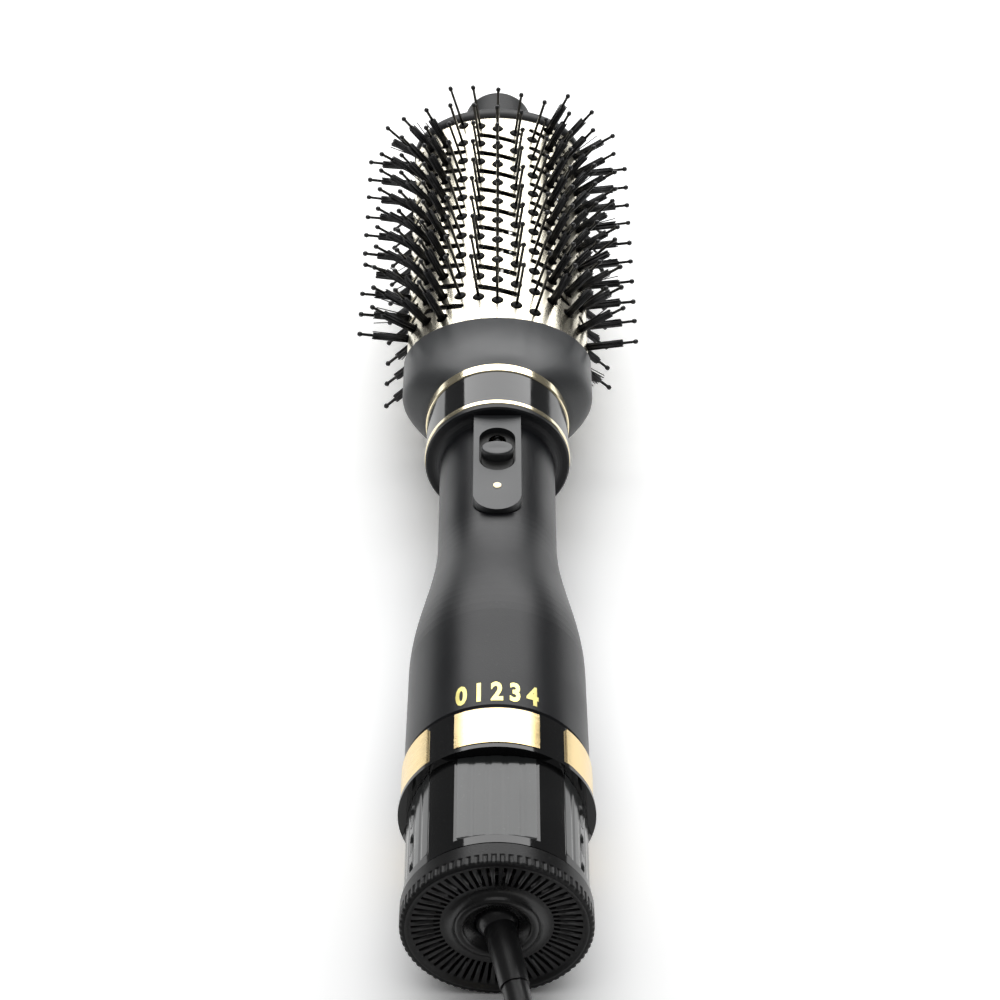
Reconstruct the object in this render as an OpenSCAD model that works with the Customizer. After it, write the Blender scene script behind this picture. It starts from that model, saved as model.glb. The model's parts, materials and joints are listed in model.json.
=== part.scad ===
// Hot air brush with an oval slotted barrel, lying on a table.
// The rear cap points toward -Y, the cool tip toward +Y and the switch plate faces up.
// Every piece is built upright, with z = 0 at the rear face, its front toward -Y,
// and lie() then lays it down so that it rests on the rear cap and the first row of pins.

/* [Rear cap] */
// Radius of the rear intake cap
cap_r = 25; // [24.5:0.1:27]
// Length of the rear intake cap
cap_len = 7; // [5:0.5:9]
// Number of radial air slots in the cap
air_slots = 60; // [30:2:72]
// Number of teeth round the cap's rim
rim_teeth = 30; // [18:6:36]

/* [Selector dial] */
// Outer radius of the dial's grip
dial_r = 24.5; // [24:0.1:25]
// Where the grip ends and the gold band begins
grip_end = 39.4; // [36:0.2:42]
// Radius of the lip between grip and band
lip_r = 26.4; // [26:0.1:28]
// Radius of the black band that carries the inlays
band_r = 25.2; // [24.6:0.1:25.6]
// Number of flat panels and gold inlays
panels = 5; // [5:1:6]
// Half the width of a flat panel and its inlay
panel_half = 11; // [8:0.5:11.5]

/* [Handle] */
// Radius of the grip
grip_r = 24.8; // [24:0.1:26]
// Radius of the slim waist
waist_r = 17.6; // [17:0.1:19]
// Where the grip starts to narrow
narrow_from = 92; // [88:1:96]
// Where the waist is reached
narrow_to = 148; // [138:1:152]
// Wall of the two shells
wall = 2.3; // [2:0.1:2.6]
// Radius of the flange at the handle's front end
flange_r = 22.2; // [21.6:0.1:23]

/* [Neck] */
// Length of the black band between the trim rings
neck_band_len = 16.5; // [12:0.5:18]
// Radius of the black band
neck_r = 22; // [21.6:0.1:22.4]

/* [Brush head] */
// Half the width of the oval barrel
barrel_a = 29.2; // [27:0.1:30]
// Half the height of the oval barrel
barrel_b = 18.7; // [17:0.1:20]
// Thickness of the metal sleeve
sleeve_wall = 0.9; // [0.8:0.1:1]
// Number of bristle rows along the barrel
rows = 10; // [6:1:10]
// Number of bristle columns round the barrel
columns = 25; // [21:2:25]
// Length of a ball-tipped pin outside the sleeve
pin_len = 16.6; // [12:0.2:18]
// Length of a bristle tuft outside the sleeve
tuft_len = 11.4; // [8:0.2:12]
// Radius of the cool tip
tip_r = 12.1; // [10:0.1:13]
// Length of the cool tip
tip_len = 23; // [18:1:26]

/* [Cord] */
// Diameter of the power cord
cord_d = 7; // [6.5:0.1:7.2]
// Sideways angle at which the cord leaves the rear cap
cord_yaw = 12; // [6:1:14]
// Downward angle at which the cord leaves the rear cap
cord_dip = 8; // [4:1:10]

/* [Hidden] */

fit = 0.05;      // gap round pieces of one body that sit inside each other
run = 0.1;       // radial gap of the dial on its bearing
gap = 0.4;       // gap between faces that move past each other
far = 200;       // half the size of a cutting block

/* Stations along the axis, from the rear face */
dial_from = cap_len + gap;
lip_len = 1.9;
band_from = grip_end + lip_len;
dial_to = band_from + 14.1;
handle_from = dial_to + gap;
flange_len = 2;
handle_to = handle_from + 132.9;
band_start = handle_to + flange_len;
band_end = band_start + neck_band_len;
neck_end = band_end + 3.7;
head_from = neck_end + gap;
collar_wide = head_from + 11;
collar_to = head_from + 28.2;
barrel_to = collar_to + 120.5;
cap_end = barrel_to + 7.5;
total_len = cap_end + tip_len;

/* Radii inside */
housing_out = 20.1;
housing_in = 18.3;
housing_to = handle_from + 8.8;
grip_bore = grip_r - wall;
waist_bore = waist_r - wall;
spigot_r = 17.7;
socket_r = spigot_r + 0.3;
core_r = 20.2;
ring_r = flange_r + 0.2;

/* Switch plate: a flat pad that stands on the waist */
plate_half = 7.1;
plate_top = 19.3;
plate_under = 17.1;
skirt_under = 15.4;
groove_under = 15.7;
seam = 0.4;
channel_half = 3.2;
rod_at = 15.7;
plate_from = handle_to - 44.4;
slot_half = 5.4;
slot_from = handle_to - 26.4;
slot_to = handle_to - 6;
slider_half = 4.9;
slider_from = slot_from + 0.4;
lens_at = handle_to - 33.5;

/* Bristles */
row_pitch = 11.43;
row_shift = row_pitch * 5 / columns;
rows_from = collar_to + 5.1;
row_middle = collar_to + 10.3;
function wrapped(length, span) = length - span * floor(length / span);
function first_row(k) = rows_from + wrapped(row_middle - row_shift * k - rows_from, row_pitch);
function has_tuft(k) = min(k, columns - k) > 2 && min(k, columns - k) < 10;
hole_r = 1.7;
root_r = 1.5;
tuft_r = 1.3;
pin_r = 0.5;
ball_r = 0.85;
strip_deep = 1.4;
strip_half = 0.95;
facets = 3 * columns;
slot_wide = 1.6;
slot_middles = [0, 3, 6, 9, 12.5, -9, -6, -3];

/* The oval is walked by an angle g from the front, and arc[] turns a length into that angle. */
arc_steps = 240;
function oval(g, a, b) = [a * sin(g), -b * cos(g)];
function outward(g) = let (n = [barrel_b * sin(g), -barrel_a * cos(g)]) n / norm(n);
function turned(g) = atan2(barrel_b * sin(g), barrel_a * cos(g));
function arc_step(i) = norm(oval(360 / arc_steps * (i + 1), barrel_a, barrel_b)
    - oval(360 / arc_steps * i, barrel_a, barrel_b));
arc = [for (i = 0, s = 0; i <= arc_steps; s = s + arc_step(i), i = i + 1) [s, 360 / arc_steps * i]];
function column_angle(k) = k < 0 ? -column_angle(-k) : lookup(arc[arc_steps][0] * k / columns, arc);
function on_sleeve(k, out) = let (g = column_angle(k)) oval(g, barrel_a, barrel_b) + out * outward(g);
function sleeve_outline(out) = [for (i = [0:facets - 1]) on_sleeve((i + 0.5) * columns / facets, out)];

/* The part rests on the cap's rim and on the ball nearest to the collar beside the bottom. */
low_column = (columns - 1) / 2;
low_row = min(first_row(low_column), first_row(low_column + 1));
low_reach = on_sleeve(low_column, pin_len - ball_r)[1] + ball_r;
rim_edge = 0.6;
tilt = atan((low_reach - cap_r) / (low_row - rim_edge));
axis_h = cap_r * cos(tilt) - rim_edge * sin(tilt);
tip_round = 4;
tip_reach = (total_len - tip_round) * cos(tilt) + (tip_r - tip_round) * sin(tilt) + tip_round;
back_y = ((cap_r - rim_edge) * sin(tilt) - tip_reach) / 2;

/* The cord leaves a ball joint in the rear cap and runs to a coil on the table. */
ball_at = 4.6;
swivel_r = 6;
relief_len = 22;
cord_r = cord_d / 2;
coil_mid_r = 38;
coil_wide = 4 * cord_d;
coil_high = 2 * cord_d;
coil_at = [-28, -270];
tail_to = [-36, -250, 23];
function laid(p) = [p[0], back_y + p[1] * sin(tilt) + p[2] * cos(tilt),
    axis_h - p[1] * cos(tilt) + p[2] * sin(tilt)];
swivel_at = laid([0, 0, ball_at]);
cord_dir = [sin(cord_yaw) * cos(cord_dip), -cos(cord_yaw) * cos(cord_dip), -sin(cord_dip)];
cord_exit = swivel_at + relief_len * cord_dir;
cord_route = [[6, -218, 20.9], [7.8, -224, 19], [10.6, -230, 15.9], [13.9, -236, 12.3],
    [17.2, -242, 8.8], [19.9, -248, 6], [21.5, -254, 4.3], [21.9, -260, 3.6], [21.3, -266, 3.5],
    [20.4, -273, 3.5]];
tail_from = [coil_at[0] - 34.3, coil_at[1] - 34.3, 10.5];
tail_route = [tail_from, [-72, -290.5, 12.5], [-75.5, -278, 15.5], [-74, -266, 18.2],
    [-67.5, -256.5, 20.5], [-57, -251, 22], [-46, -250, 22.8], tail_to];

/* A tube is swept along points: each ring stands square to the path there. */
function unit(v) = v / norm(v);
function heading(p, i) = unit(p[min(i + 1, len(p) - 1)] - p[max(i - 1, 0)]);
function beside(t) = unit(cross(t, abs(t[2]) < 0.9 ? [0, 0, 1] : [1, 0, 0]));
function ring_at(p, i, r, sides, first, last) =
    let (t = i == 0 ? first : i == len(p) - 1 ? last : heading(p, i), u = beside(t), v = cross(u, t))
    [for (k = [0:sides - 1]) p[i] + r * (cos(360 * k / sides) * u + sin(360 * k / sides) * v)];
module skin(rings) {
    n = len(rings[0]);
    m = len(rings);
    polyhedron(
        points = [for (ring = rings) each ring],
        faces = concat(
            [[for (k = [0:n - 1]) k]],
            [for (j = [0:m - 2], k = [0:n - 1]) [j * n + k, (j + 1) * n + k, (j + 1) * n + (k + 1) % n]],
            [for (j = [0:m - 2], k = [0:n - 1]) [j * n + k, (j + 1) * n + (k + 1) % n, j * n + (k + 1) % n]],
            [[for (k = [n - 1:-1:0]) (m - 1) * n + k]]));
}
module tube_along(p, r, sides, first, last)
    skin([for (i = [0:len(p) - 1]) ring_at(p, i, r, sides, first, last)]);

/* Placing */
module lie() translate([0, back_y, axis_h]) rotate([tilt - 90, 0, 0]) children();
module disc(r, from, to) translate([0, 0, from]) cylinder(r = r, h = to - from, $fn = 96);
module pipe(r_out, r_in, from, to) difference() {
    disc(r_out, from, to);
    disc(r_in, from - 1, to + 1);
}
module sector(r_out, r_in, from, to, middle, half) translate([0, 0, from])
    rotate([0, 0, middle - 90 - half]) rotate_extrude(angle = 2 * half, $fn = 96)
        translate([r_in, 0]) square([r_out - r_in, to - from]);
module block(x, y, z) translate([x[0], y[0], z[0]]) cube([x[1] - x[0], y[1] - y[0], z[1] - z[0]]);
module around(n) for (k = [0:n - 1]) rotate([0, 0, 360 * k / n]) children();
module on_column(k) let (g = column_angle(k), p = oval(g, barrel_a, barrel_b))
    translate([p[0], p[1], 0]) rotate([0, 0, turned(g)]) rotate([90, 0, 0]) children();

/* Rear */
plate_in = 4.4;
hub_r = 11;
hub_to = 10;
ball_gap = 0.3;
module rear_cap() color("#1b1c1e") lie() difference() {
    union() {
        rotate_extrude($fn = 120) polygon([[0, 2], [8.6, 2], [8.6, 0.4], [9.2, 0], [10.4, 0],
            [hub_r, 0.6], [hub_r, 1.8], [14, 1.8], [22.6, 0.8], [23, 0], [cap_r - rim_edge, 0],
            [cap_r, rim_edge], [cap_r, cap_len], [22.4, cap_len], [22.4, plate_in], [hub_r, plate_in],
            [hub_r, hub_to], [0, hub_to]]);
        pipe(housing_out, 16.8, plate_in - 0.5, cap_len);
        pipe(housing_in - fit, 16.8, cap_len - 0.5, cap_len + 4);
    }
    translate([0, 0, ball_at]) sphere(r = swivel_r + ball_gap, $fn = 64);
    disc(swivel_r + ball_gap, ball_at, hub_to + 1);
    around(air_slots) translate([-0.45, 14.6, -1]) cube([0.9, 7.4, 7]);
    around(rim_teeth) rotate([0, 0, 180 / rim_teeth]) translate([0, cap_r + 0.5, -1])
        cylinder(r = 1.15, h = cap_len + 2, $fn = 24);
}
module intake_filter() color("#77797c") lie() difference() {
    pipe(16.7, hub_r + 0.4, plate_in, plate_in + 1);
    around(24) translate([-0.8, 12.4, 0]) cube([1.6, 3.2, cap_len]);
}
module swivel_retainer() color("#2a2b2d") lie() difference() {
    union() {
        disc(hub_r - 0.2, hub_to, hub_to + 2);
        disc(swivel_r + ball_gap - fit, hub_to - 2.4, hub_to + 0.1);
    }
    translate([0, 0, ball_at]) sphere(r = swivel_r + ball_gap, $fn = 64);
    disc(3.2, 0, hub_to + 3);
}

/* Motor and fan */
mount_to = housing_to - 1.4;
module motor_housing() color("#303236") lie() {
    difference() {
        union() {
            pipe(housing_out, housing_in, cap_len, housing_to);
            pipe(grip_bore, housing_in, handle_from + 1.2, handle_from + 3.6);
        }
        sector(21.9, 20.3, 0, housing_to, 90, 28);
    }
    pipe(housing_in + 0.5, 16.6, mount_to, housing_to);
}
module motor() color("#9b9d9f") lie() difference() {
    union() {
        disc(13, 36, 61.2);
        disc(5, 34, 36);
    }
    disc(1.05, 33, 46);
}
module motor_mount() color("#3c3e42") lie() {
    pipe(housing_in - fit, 17, 38, mount_to);
    pipe(14.3, 13 + fit, 38, mount_to);
    pipe(14.3, 4, 61.2, mount_to);
    around(8) translate([-0.6, 13.8, 40]) cube([1.2, 3.6, 20]);
}
module rotor_shaft() color("#c9cbce") lie() disc(1, 20, 45);
module fan_impeller() color("#e4e2da") lie() {
    pipe(6.5, 1.02, 22, 32);
    around(7) intersection() {
        translate([0, 6, 27]) rotate([0, 42, 0]) translate([-6.2, 0, -0.5]) cube([12.4, 11, 1]);
        disc(17.3, 20, 34);
    }
}

/* Selector dial */
flat_at = sqrt(dial_r * dial_r - panel_half * panel_half);
inlay_half = asin(panel_half / band_r);
inlay_r = band_r + 0.6;
inlay_floor = 23.6;
click = 11.5;
detent_at = 23.6;
module panel_cut() {
    translate([-far / 2, -far - flat_at, dial_from + 2.6]) cube([far, far, grip_end - dial_from - 2.6]);
    for (x = [-6.6, -2.2, 2.2, 6.6]) translate([x, -flat_at - 0.5, dial_from + 3.6])
        cylinder(r = 0.9, h = grip_end - dial_from - 4.6, $fn = 24);
}
module intake_recess() for (z = [12.5, 22.5, 32.5]) {
    translate([-1.6, -flat_at - 1, z - 2]) cube([3.2, 2.2, 4]);
    for (end = [-2, 2]) translate([0, -flat_at + 1.2, z + end]) rotate([90, 0, 0])
        cylinder(r = 1.6, h = 2.2, $fn = 24);
}
module selector_dial() color("#17181a") lie() difference() {
    union() {
        disc(dial_r, dial_from, grip_end + 0.1);
        rotate_extrude($fn = 120) polygon([[18, grip_end - 0.9], [lip_r - 1.2, grip_end - 0.9],
            [lip_r, grip_end], [lip_r, band_from - 0.6], [lip_r - 0.6, band_from], [18, band_from]]);
        disc(band_r, band_from - 0.1, dial_to);
        disc(21.8, dial_to - 0.1, dial_to + 1.2);
        rotate([0, 0, 90]) translate([0, -21.1, dial_to]) cylinder(r = 0.6, h = 9, $fn = 24);
    }
    disc(housing_out + run, 0, 200);
    around(panels) panel_cut();
    for (k = [1:panels - 1]) rotate([0, 0, 360 * k / panels]) intake_recess();
    for (step = [-2:2]) rotate([0, 0, 45 + click * step])
        translate([0, -detent_at, dial_to + 0.7]) sphere(r = 1.1, $fn = 32);
    for (k = [0:panels - 1]) sector(30, inlay_floor, band_from + 0.5, dial_to - 0.9,
        360 * k / panels, inlay_half + 0.2);
}
module dial_inlays() color("#d9b36a") lie() for (k = [0:panels - 1])
    sector(inlay_r, inlay_floor, band_from + 0.5, dial_to - 0.9, 360 * k / panels, inlay_half);
module detent_ball() color("#c9cbce") lie() rotate([0, 0, 45])
    translate([0, -detent_at, handle_from + 1.1]) sphere(r = 1, $fn = 32);
module detent_spring() color("#a8aaad") lie() rotate([0, 0, 45])
    translate([0, -detent_at, handle_from + 2.1]) cylinder(r = 0.7, h = 4, $fn = 24);
module selector_switch() color("#54575b") lie()
    sector(grip_bore - 0.2, 16.9, housing_to, housing_to + 6, 90, 30);

/* Handle */
ease_steps = 18;
function handle_radius(z) = z < narrow_from ? grip_r + 0.35 * (narrow_from - z) / (narrow_from - handle_from)
    : z > narrow_to ? waist_r
    : waist_r + (grip_r - waist_r) * (1 + cos(180 * (z - narrow_from) / (narrow_to - narrow_from))) / 2;
handle_zs = concat([handle_from + 0.8], [for (i = [0:ease_steps])
    narrow_from + (narrow_to - narrow_from) * i / ease_steps]);
blend_r = 2.4;
function blend_points(n) = [for (i = [0:n]) let (f = 90 * i / n)
    [waist_r + blend_r * (1 - cos(f)), handle_to - blend_r + blend_r * sin(f)]];
module handle_solid() rotate_extrude($fn = 120) polygon(concat(
    [[0, handle_from], [handle_radius(handle_from) - 0.6, handle_from]],
    [for (z = handle_zs) [handle_radius(z), z]],
    blend_points(5),
    [[flange_r - 0.5, handle_to], [flange_r, handle_to + 0.5], [flange_r, band_start], [0, band_start]]));
module handle_bore() rotate_extrude($fn = 120) polygon(concat(
    [[0, handle_from - 1], [grip_bore, handle_from - 1]],
    [for (z = handle_zs) [min(handle_radius(z) - wall, grip_bore), z]],
    [[waist_bore, band_start + 1], [0, band_start + 1]]));
module rounded_strip(half, from, to) {
    translate([-half, from + half]) square([2 * half, to - from - half]);
    translate([0, from + half]) circle(r = half, $fn = 48);
}
module pad(half, from, to, under, top) translate([0, -under, 0]) rotate([90, 0, 0])
    linear_extrude(top - under) rounded_strip(half, from, to);
module screw_at(z) translate([0, 0, z]) rotate([90, 0, 0]) children();
screw_zs = [handle_from + 15.6, handle_from + 50];
module handle_top_shell() color("#333438") lie() difference() {
    union() {
        difference() {
            handle_solid();
            handle_bore();
        }
        for (z = screw_zs) screw_at(z) cylinder(r = 3, h = 23, $fn = 48);
        for (z = [handle_from + 23, handle_from + 37]) block([-7, 7], [-23, -18.8], [z, z + 2]);
    }
    block([-far, far], [0, far], [0, 2 * far]);
    for (z = screw_zs) screw_at(z) cylinder(r = 1.3, h = 12, $fn = 32);
    pad(plate_half + seam, plate_from - seam, handle_to, plate_under, 40);
    difference() {
        pad(plate_half + seam, plate_from - seam, handle_to, skirt_under, 40);
        disc(waist_r, 0, far);
    }
    difference() {
        pad(plate_half + seam, plate_from - seam, handle_to, groove_under, 40);
        pad(plate_half - 0.3, plate_from + 0.3, handle_to + 1, 0, 60);
    }
    block([-channel_half, channel_half], [-plate_under - 0.1, -12], [slot_from - 2, band_start + 1]);
    rotate([0, 0, 45]) translate([0, -detent_at, handle_from - 1]) cylinder(r = 1.05, h = 7.1, $fn = 32);
}
module handle_bottom_shell() color("#303135") lie() difference() {
    union() {
        difference() {
            handle_solid();
            handle_bore();
        }
        for (z = screw_zs) screw_at(z) translate([0, 0, -23]) cylinder(r = 4, h = 23, $fn = 48);
        for (x = [-8, 8], z = [handle_from + 26, handle_from + 36])
            translate([x, 14.8, z]) rotate([-90, 0, 0]) cylinder(r = 1.8, h = 7, $fn = 32);
    }
    block([-far, far], [-far, 0], [0, 2 * far]);
    for (z = screw_zs) screw_at(z) {
        translate([0, 0, -40]) cylinder(r = 1.5, h = 41, $fn = 32);
        translate([0, 0, -40]) cylinder(r = 2.9, h = 26, $fn = 32);
    }
}
module shell_screws() color("#8d8f92") lie() for (z = screw_zs) screw_at(z) difference() {
    union() {
        translate([0, 0, -14]) cylinder(r = 1.25, h = 24, $fn = 32);
        translate([0, 0, -16]) cylinder(r = 2.6, h = 2, $fn = 32);
    }
    translate([-1.8, -0.4, -17]) cube([3.6, 0.8, 2]);
    translate([-0.4, -1.8, -17]) cube([0.8, 3.6, 2]);
}
module circuit_board() color("#2f6b45") lie() {
    block([-13, 13], [13.2, 14.8], [handle_from + 22, handle_from + 40]);
    block([-9, -1], [9.2, 13.2], [handle_from + 24, handle_from + 32]);
    block([3, 9], [8.2, 13.2], [handle_from + 25, handle_from + 37]);
}
module ion_generator() color("#24262a") lie()
    block([-8, 8], [-18.8, -10.8], [handle_from + 22, handle_from + 42]);

/* Heater */
heat_to = handle_to - 1;
module heater_sleeve() color("#b8a888") lie() pipe(13.9, 13.3, heat_to - 60, heat_to);
module heater_frame() color("#cbbd9c") lie() {
    block([-0.4, 0.4], [-11.2, 11.2], [heat_to - 70, heat_to]);
    block([-11.2, 11.2], [-0.4, 0.4], [heat_to - 58, heat_to]);
}
coil_turns = 9;
coil_rings = 16;
heat_path = [for (i = [0:coil_turns * coil_rings]) let (f = 360 * i / coil_rings)
    [11.4 * cos(f), 11.4 * sin(f), heat_to - 54 + 50 * i / (coil_turns * coil_rings)]];
module heater_coil() color("#8a8174") lie() tube_along(heat_path, 0.5, 6,
    heading(heat_path, 0), heading(heat_path, len(heat_path) - 1));
module thermostat() color("#d8d8d4") lie() block([0.4, 4.4], [-4, 4], [heat_to - 69, heat_to - 61]);
module thermal_fuse() color("#c2a24c") lie() translate([-1.7, 3, heat_to - 69])
    cylinder(r = 1.3, h = 8, $fn = 32);

/* Switch plate, lens and release */
module slot_shape(half, length) {
    translate([-half, 0]) square([2 * half, length - 2 * half]);
    circle(r = half, $fn = 48);
    translate([0, length - 2 * half]) circle(r = half, $fn = 48);
}
module facing(z, out) translate([0, -out, z]) rotate([90, 0, 0]) children();
module switch_plate() color("#5c5f63") lie() difference() {
    union() {
        pad(plate_half, plate_from, handle_to, plate_under, plate_top);
        difference() {
            pad(plate_half, plate_from, handle_to, skirt_under, plate_top - 0.1);
            disc(waist_r, 0, far);
        }
    }
    facing(slot_from + slot_half, plate_under - 2) linear_extrude(6)
        slot_shape(slot_half, slot_to - slot_from);
    facing(lens_at, plate_under - 2) cylinder(r = 1.25, h = 6, $fn = 32);
}
module indicator_lens() color("#f3dd9a") lie() facing(lens_at, plate_under)
    cylinder(r = 1.2, h = 2.4, $fn = 32);
slider_under = plate_under + 0.4;
slider_top = slider_under + 1.2;
slider_len = 14;
ridge_top = plate_top + 0.6;
leg_from = slider_from + 6;
leg_to = slider_from + 10;
module release_slider() color("#2b2d30") lie() {
    difference() {
        facing(slider_from + slider_half, slider_under) linear_extrude(1.2)
            slot_shape(slider_half, slider_len);
        facing(slider_from + slider_half, slider_top + 4.5) sphere(r = 5, $fn = 48);
    }
    facing(slider_from + slider_len - slider_half, slider_top - 0.3)
        rotate_extrude(angle = 180, $fn = 96) translate([3.3, 0]) square([1.2, ridge_top - slider_top + 0.3]);
    block([-2.4, 2.4], [-slider_under - 0.1, -14.6], [leg_from, leg_to]);
    translate([0, -rod_at, leg_to - 1]) cylinder(r = 0.8, h = band_start + 5 - leg_to + 1, $fn = 32);
}
spring_turns = 10;
spring_rings = 12;
spring_path = [for (i = [0:spring_turns * spring_rings]) let (f = 360 * i / spring_rings)
    [1.25 * cos(f), 1.25 * sin(f) - rod_at,
        leg_to + 0.22 + (band_start - leg_to - 0.44) * i / (spring_turns * spring_rings)]];
module release_spring() color("#b5b7ba") lie() tube_along(spring_path, 0.2, 6,
    heading(spring_path, 0), heading(spring_path, len(spring_path) - 1));

/* Neck */
module neck_core() color("#26282b") lie() difference() {
    rotate_extrude($fn = 96) polygon([[14, handle_to - 10], [waist_bore - fit, handle_to - 10],
        [waist_bore - fit, band_start], [core_r, band_start], [core_r, neck_end], [socket_r, neck_end],
        [socket_r, band_start + 2], [10.5, band_start + 2], [10.5, heat_to], [14, heat_to]]);
    block([-channel_half, channel_half], [-plate_under - 0.1, -13.9], [handle_to - 12, band_start]);
    translate([0, -rod_at, heat_to]) cylinder(r = 1.05, h = 8, $fn = 32);
}
module trim_ring(from, to) rotate_extrude($fn = 120) polygon([
    [core_r + fit, from], [ring_r - 0.3, from],
    [ring_r, from + 0.3], [ring_r, to - 0.3], [ring_r - 0.3, to], [core_r + fit, to]]);
module lower_trim_ring() color("#d8bd7e") lie() trim_ring(band_start, band_start + 2);
module neck_band() color("#0e0f10") lie() pipe(neck_r, core_r + fit, band_start + 2, band_end);
module upper_trim_ring() color("#d8bd7e") lie() trim_ring(band_end, neck_end);

/* Brush head */
collar_a = barrel_a + 0.9;
collar_b = barrel_b + 0.9;
collar_sides = 72;
function collar_ring(a, b, z) =
    [for (k = [0:collar_sides - 1]) concat(oval(360 * k / collar_sides, a, b), [z])];
function swell(u) = sin(90 * u);
function collar_loft(u, inset) = collar_ring(
    neck_r + (collar_a - neck_r) * swell(u) - inset, neck_r + (collar_b - neck_r) * swell(u) - inset,
    head_from + (collar_wide - head_from) * u);
module head_collar() color("#6f7375") lie() difference() {
    skin(concat([for (i = [0:6]) collar_loft(i / 6, 0)], [
        collar_ring(collar_a, collar_b, collar_to - 0.6),
        collar_ring(collar_a - 0.5, collar_b - 0.5, collar_to)]));
    skin(concat([for (i = [0:4]) collar_loft(0.25 + 0.75 * i / 4, 2.2)],
        [collar_ring(collar_a - 2.2, collar_b - 2.2, collar_to - 6)]));
    translate([0, 0, collar_to - 6]) linear_extrude(8) polygon(sleeve_outline(fit));
    disc(spigot_r + fit, head_from - 1, collar_to - 8);
}
spigot_from = band_start + 4.6;
module head_spigot() color("#2c2e31") lie() difference() {
    union() {
        pipe(spigot_r, 15.4, spigot_from, head_from + 2.75);
        pipe(18.2, 15.4, head_from + 2.75, head_from + 4.9);
    }
    block([-channel_half, channel_half], [-far, -14], [spigot_from - 1, spigot_from + 10]);
}
module air_slot(middle, reach) {
    half = norm(on_sleeve(middle + reach, 0) - on_sleeve(middle - reach, 0)) / 2;
    rise = reach * row_shift;
    on_column(middle) for (r = [0:rows - 2])
        translate([0, first_row(middle) + (r + 0.5) * row_pitch, -2.3]) rotate([0, 0, -atan(rise / half)])
            cube([2 * norm([half, rise]), slot_wide, 7.4], center = true);
}
module barrel_sleeve() color("#e6dcc3") lie() difference() {
    translate([0, 0, collar_to - 6]) linear_extrude(barrel_to - collar_to + 6) difference() {
        polygon(sleeve_outline(0));
        polygon(sleeve_outline(-sleeve_wall));
    }
    for (k = [0:columns - 1]) on_column(k) for (r = [0:rows - 1])
        translate([0, first_row(k) + r * row_pitch, -2]) cylinder(r = hole_r, h = 4, $fn = 32);
    for (middle = slot_middles) air_slot(middle, middle == 12.5 ? 1.7 : 1.2);
}
frame_out = -sleeve_wall - fit - strip_deep;
module strip_frame() color("#2f3134") lie() {
    for (z = [collar_to - 4, (collar_to + barrel_to) / 2, barrel_to - 6])
        translate([0, 0, z]) linear_extrude(4) difference() {
            polygon(sleeve_outline(frame_out - 0.02));
            polygon(sleeve_outline(frame_out - 3));
        }
    for (x = [-1, 1], y = [-1, 1])
        translate([x * 14 - 1.2, y * 12.4 - 1, collar_to - 4]) cube([2.4, 2, barrel_to - collar_to + 4]);
}
root_shape = [[0, -1.6], [root_r, -1.6], [root_r, 0.3], [root_r - 0.4, 0.7], [pin_r, 0.7]];
tuft_shape = [[0, -1.6], [tuft_r - 0.15, -1.6], [tuft_r, tuft_len], [pin_r, tuft_len]];
pin_shape = [[pin_r, pin_len - 2 * ball_r], [ball_r, pin_len - 1.4 * ball_r],
    [ball_r, pin_len - 0.6 * ball_r], [0.35, pin_len], [0, pin_len]];
module bristle(tuft) rotate_extrude($fn = 24) polygon(concat(tuft ? tuft_shape : root_shape, pin_shape));
module bristle_strips() color("#18191b") lie() for (k = [0:columns - 1]) on_column(k) {
    block([-strip_half, strip_half], [collar_to - 6, barrel_to], [frame_out, frame_out + strip_deep]);
    for (r = [0:rows - 1]) translate([0, first_row(k) + r * row_pitch, 0]) bristle(has_tuft(k));
}
module end_cap() color("#3a3c3f") lie() {
    skin(concat([collar_ring(barrel_a + 0.4, barrel_b + 0.4, barrel_to)],
        [for (i = [0:4]) let (f = 22.5 * i) collar_ring(barrel_a + 0.4 - 3 * (1 - cos(f)),
            barrel_b + 0.4 - 3 * (1 - cos(f)), cap_end - 3 + 3 * sin(f))]));
}
module cool_tip() color("#45474a") lie() rotate_extrude($fn = 96) polygon(concat(
    [[0, cap_end], [tip_r, cap_end], [tip_r, total_len - tip_round]],
    [for (i = [1:5]) [tip_r - tip_round * (1 - cos(18 * i)), total_len - tip_round * (1 - sin(18 * i))]],
    [[0, total_len]]));

/* Cord */
module strain_relief() color("#1d1e20") translate(swivel_at)
    rotate([90 + cord_dip, 0, cord_yaw]) {
        sphere(r = swivel_r, $fn = 64);
        cylinder(r1 = 4.4, r2 = cord_r + 0.3, h = relief_len, $fn = 48);
    }
full_route = concat([cord_exit], cord_route);
module cord_tube() color("#1d1e20") tube_along(full_route, cord_r, 10, cord_dir, [0, -1, 0]);
module cord_coil() color("#1d1e20") translate([coil_at[0], coil_at[1], 0]) rotate_extrude($fn = 96)
    translate([coil_mid_r - coil_wide / 2, 0]) square([coil_wide, coil_high]);
module cord_tail() color("#1d1e20") tube_along(tail_route, cord_r, 10, unit([-1, 1, 0]), [1, 0, 0]);
plug_half = 9;
module plug_body() color("#202123") translate(tail_to) rotate([0, 90, 0]) {
    cylinder(r1 = cord_r + 0.4, r2 = 5.6, h = 14, $fn = 48);
    hull() for (x = [-1, 1], y = [-1, 1]) translate([x * (plug_half - 3), y * (plug_half), 12])
        cylinder(r = 3, h = 26, $fn = 32);
}
module plug_blades() color("#c9b27a") translate(tail_to) for (y = [-6.35, 6.35]) difference() {
    translate([38, y - 0.75, -3.15]) cube([17, 1.5, 6.3]);
    translate([50, y - 2, 0]) rotate([-90, 0, 0]) cylinder(r = 1.6, h = 4, $fn = 32);
}

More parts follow.
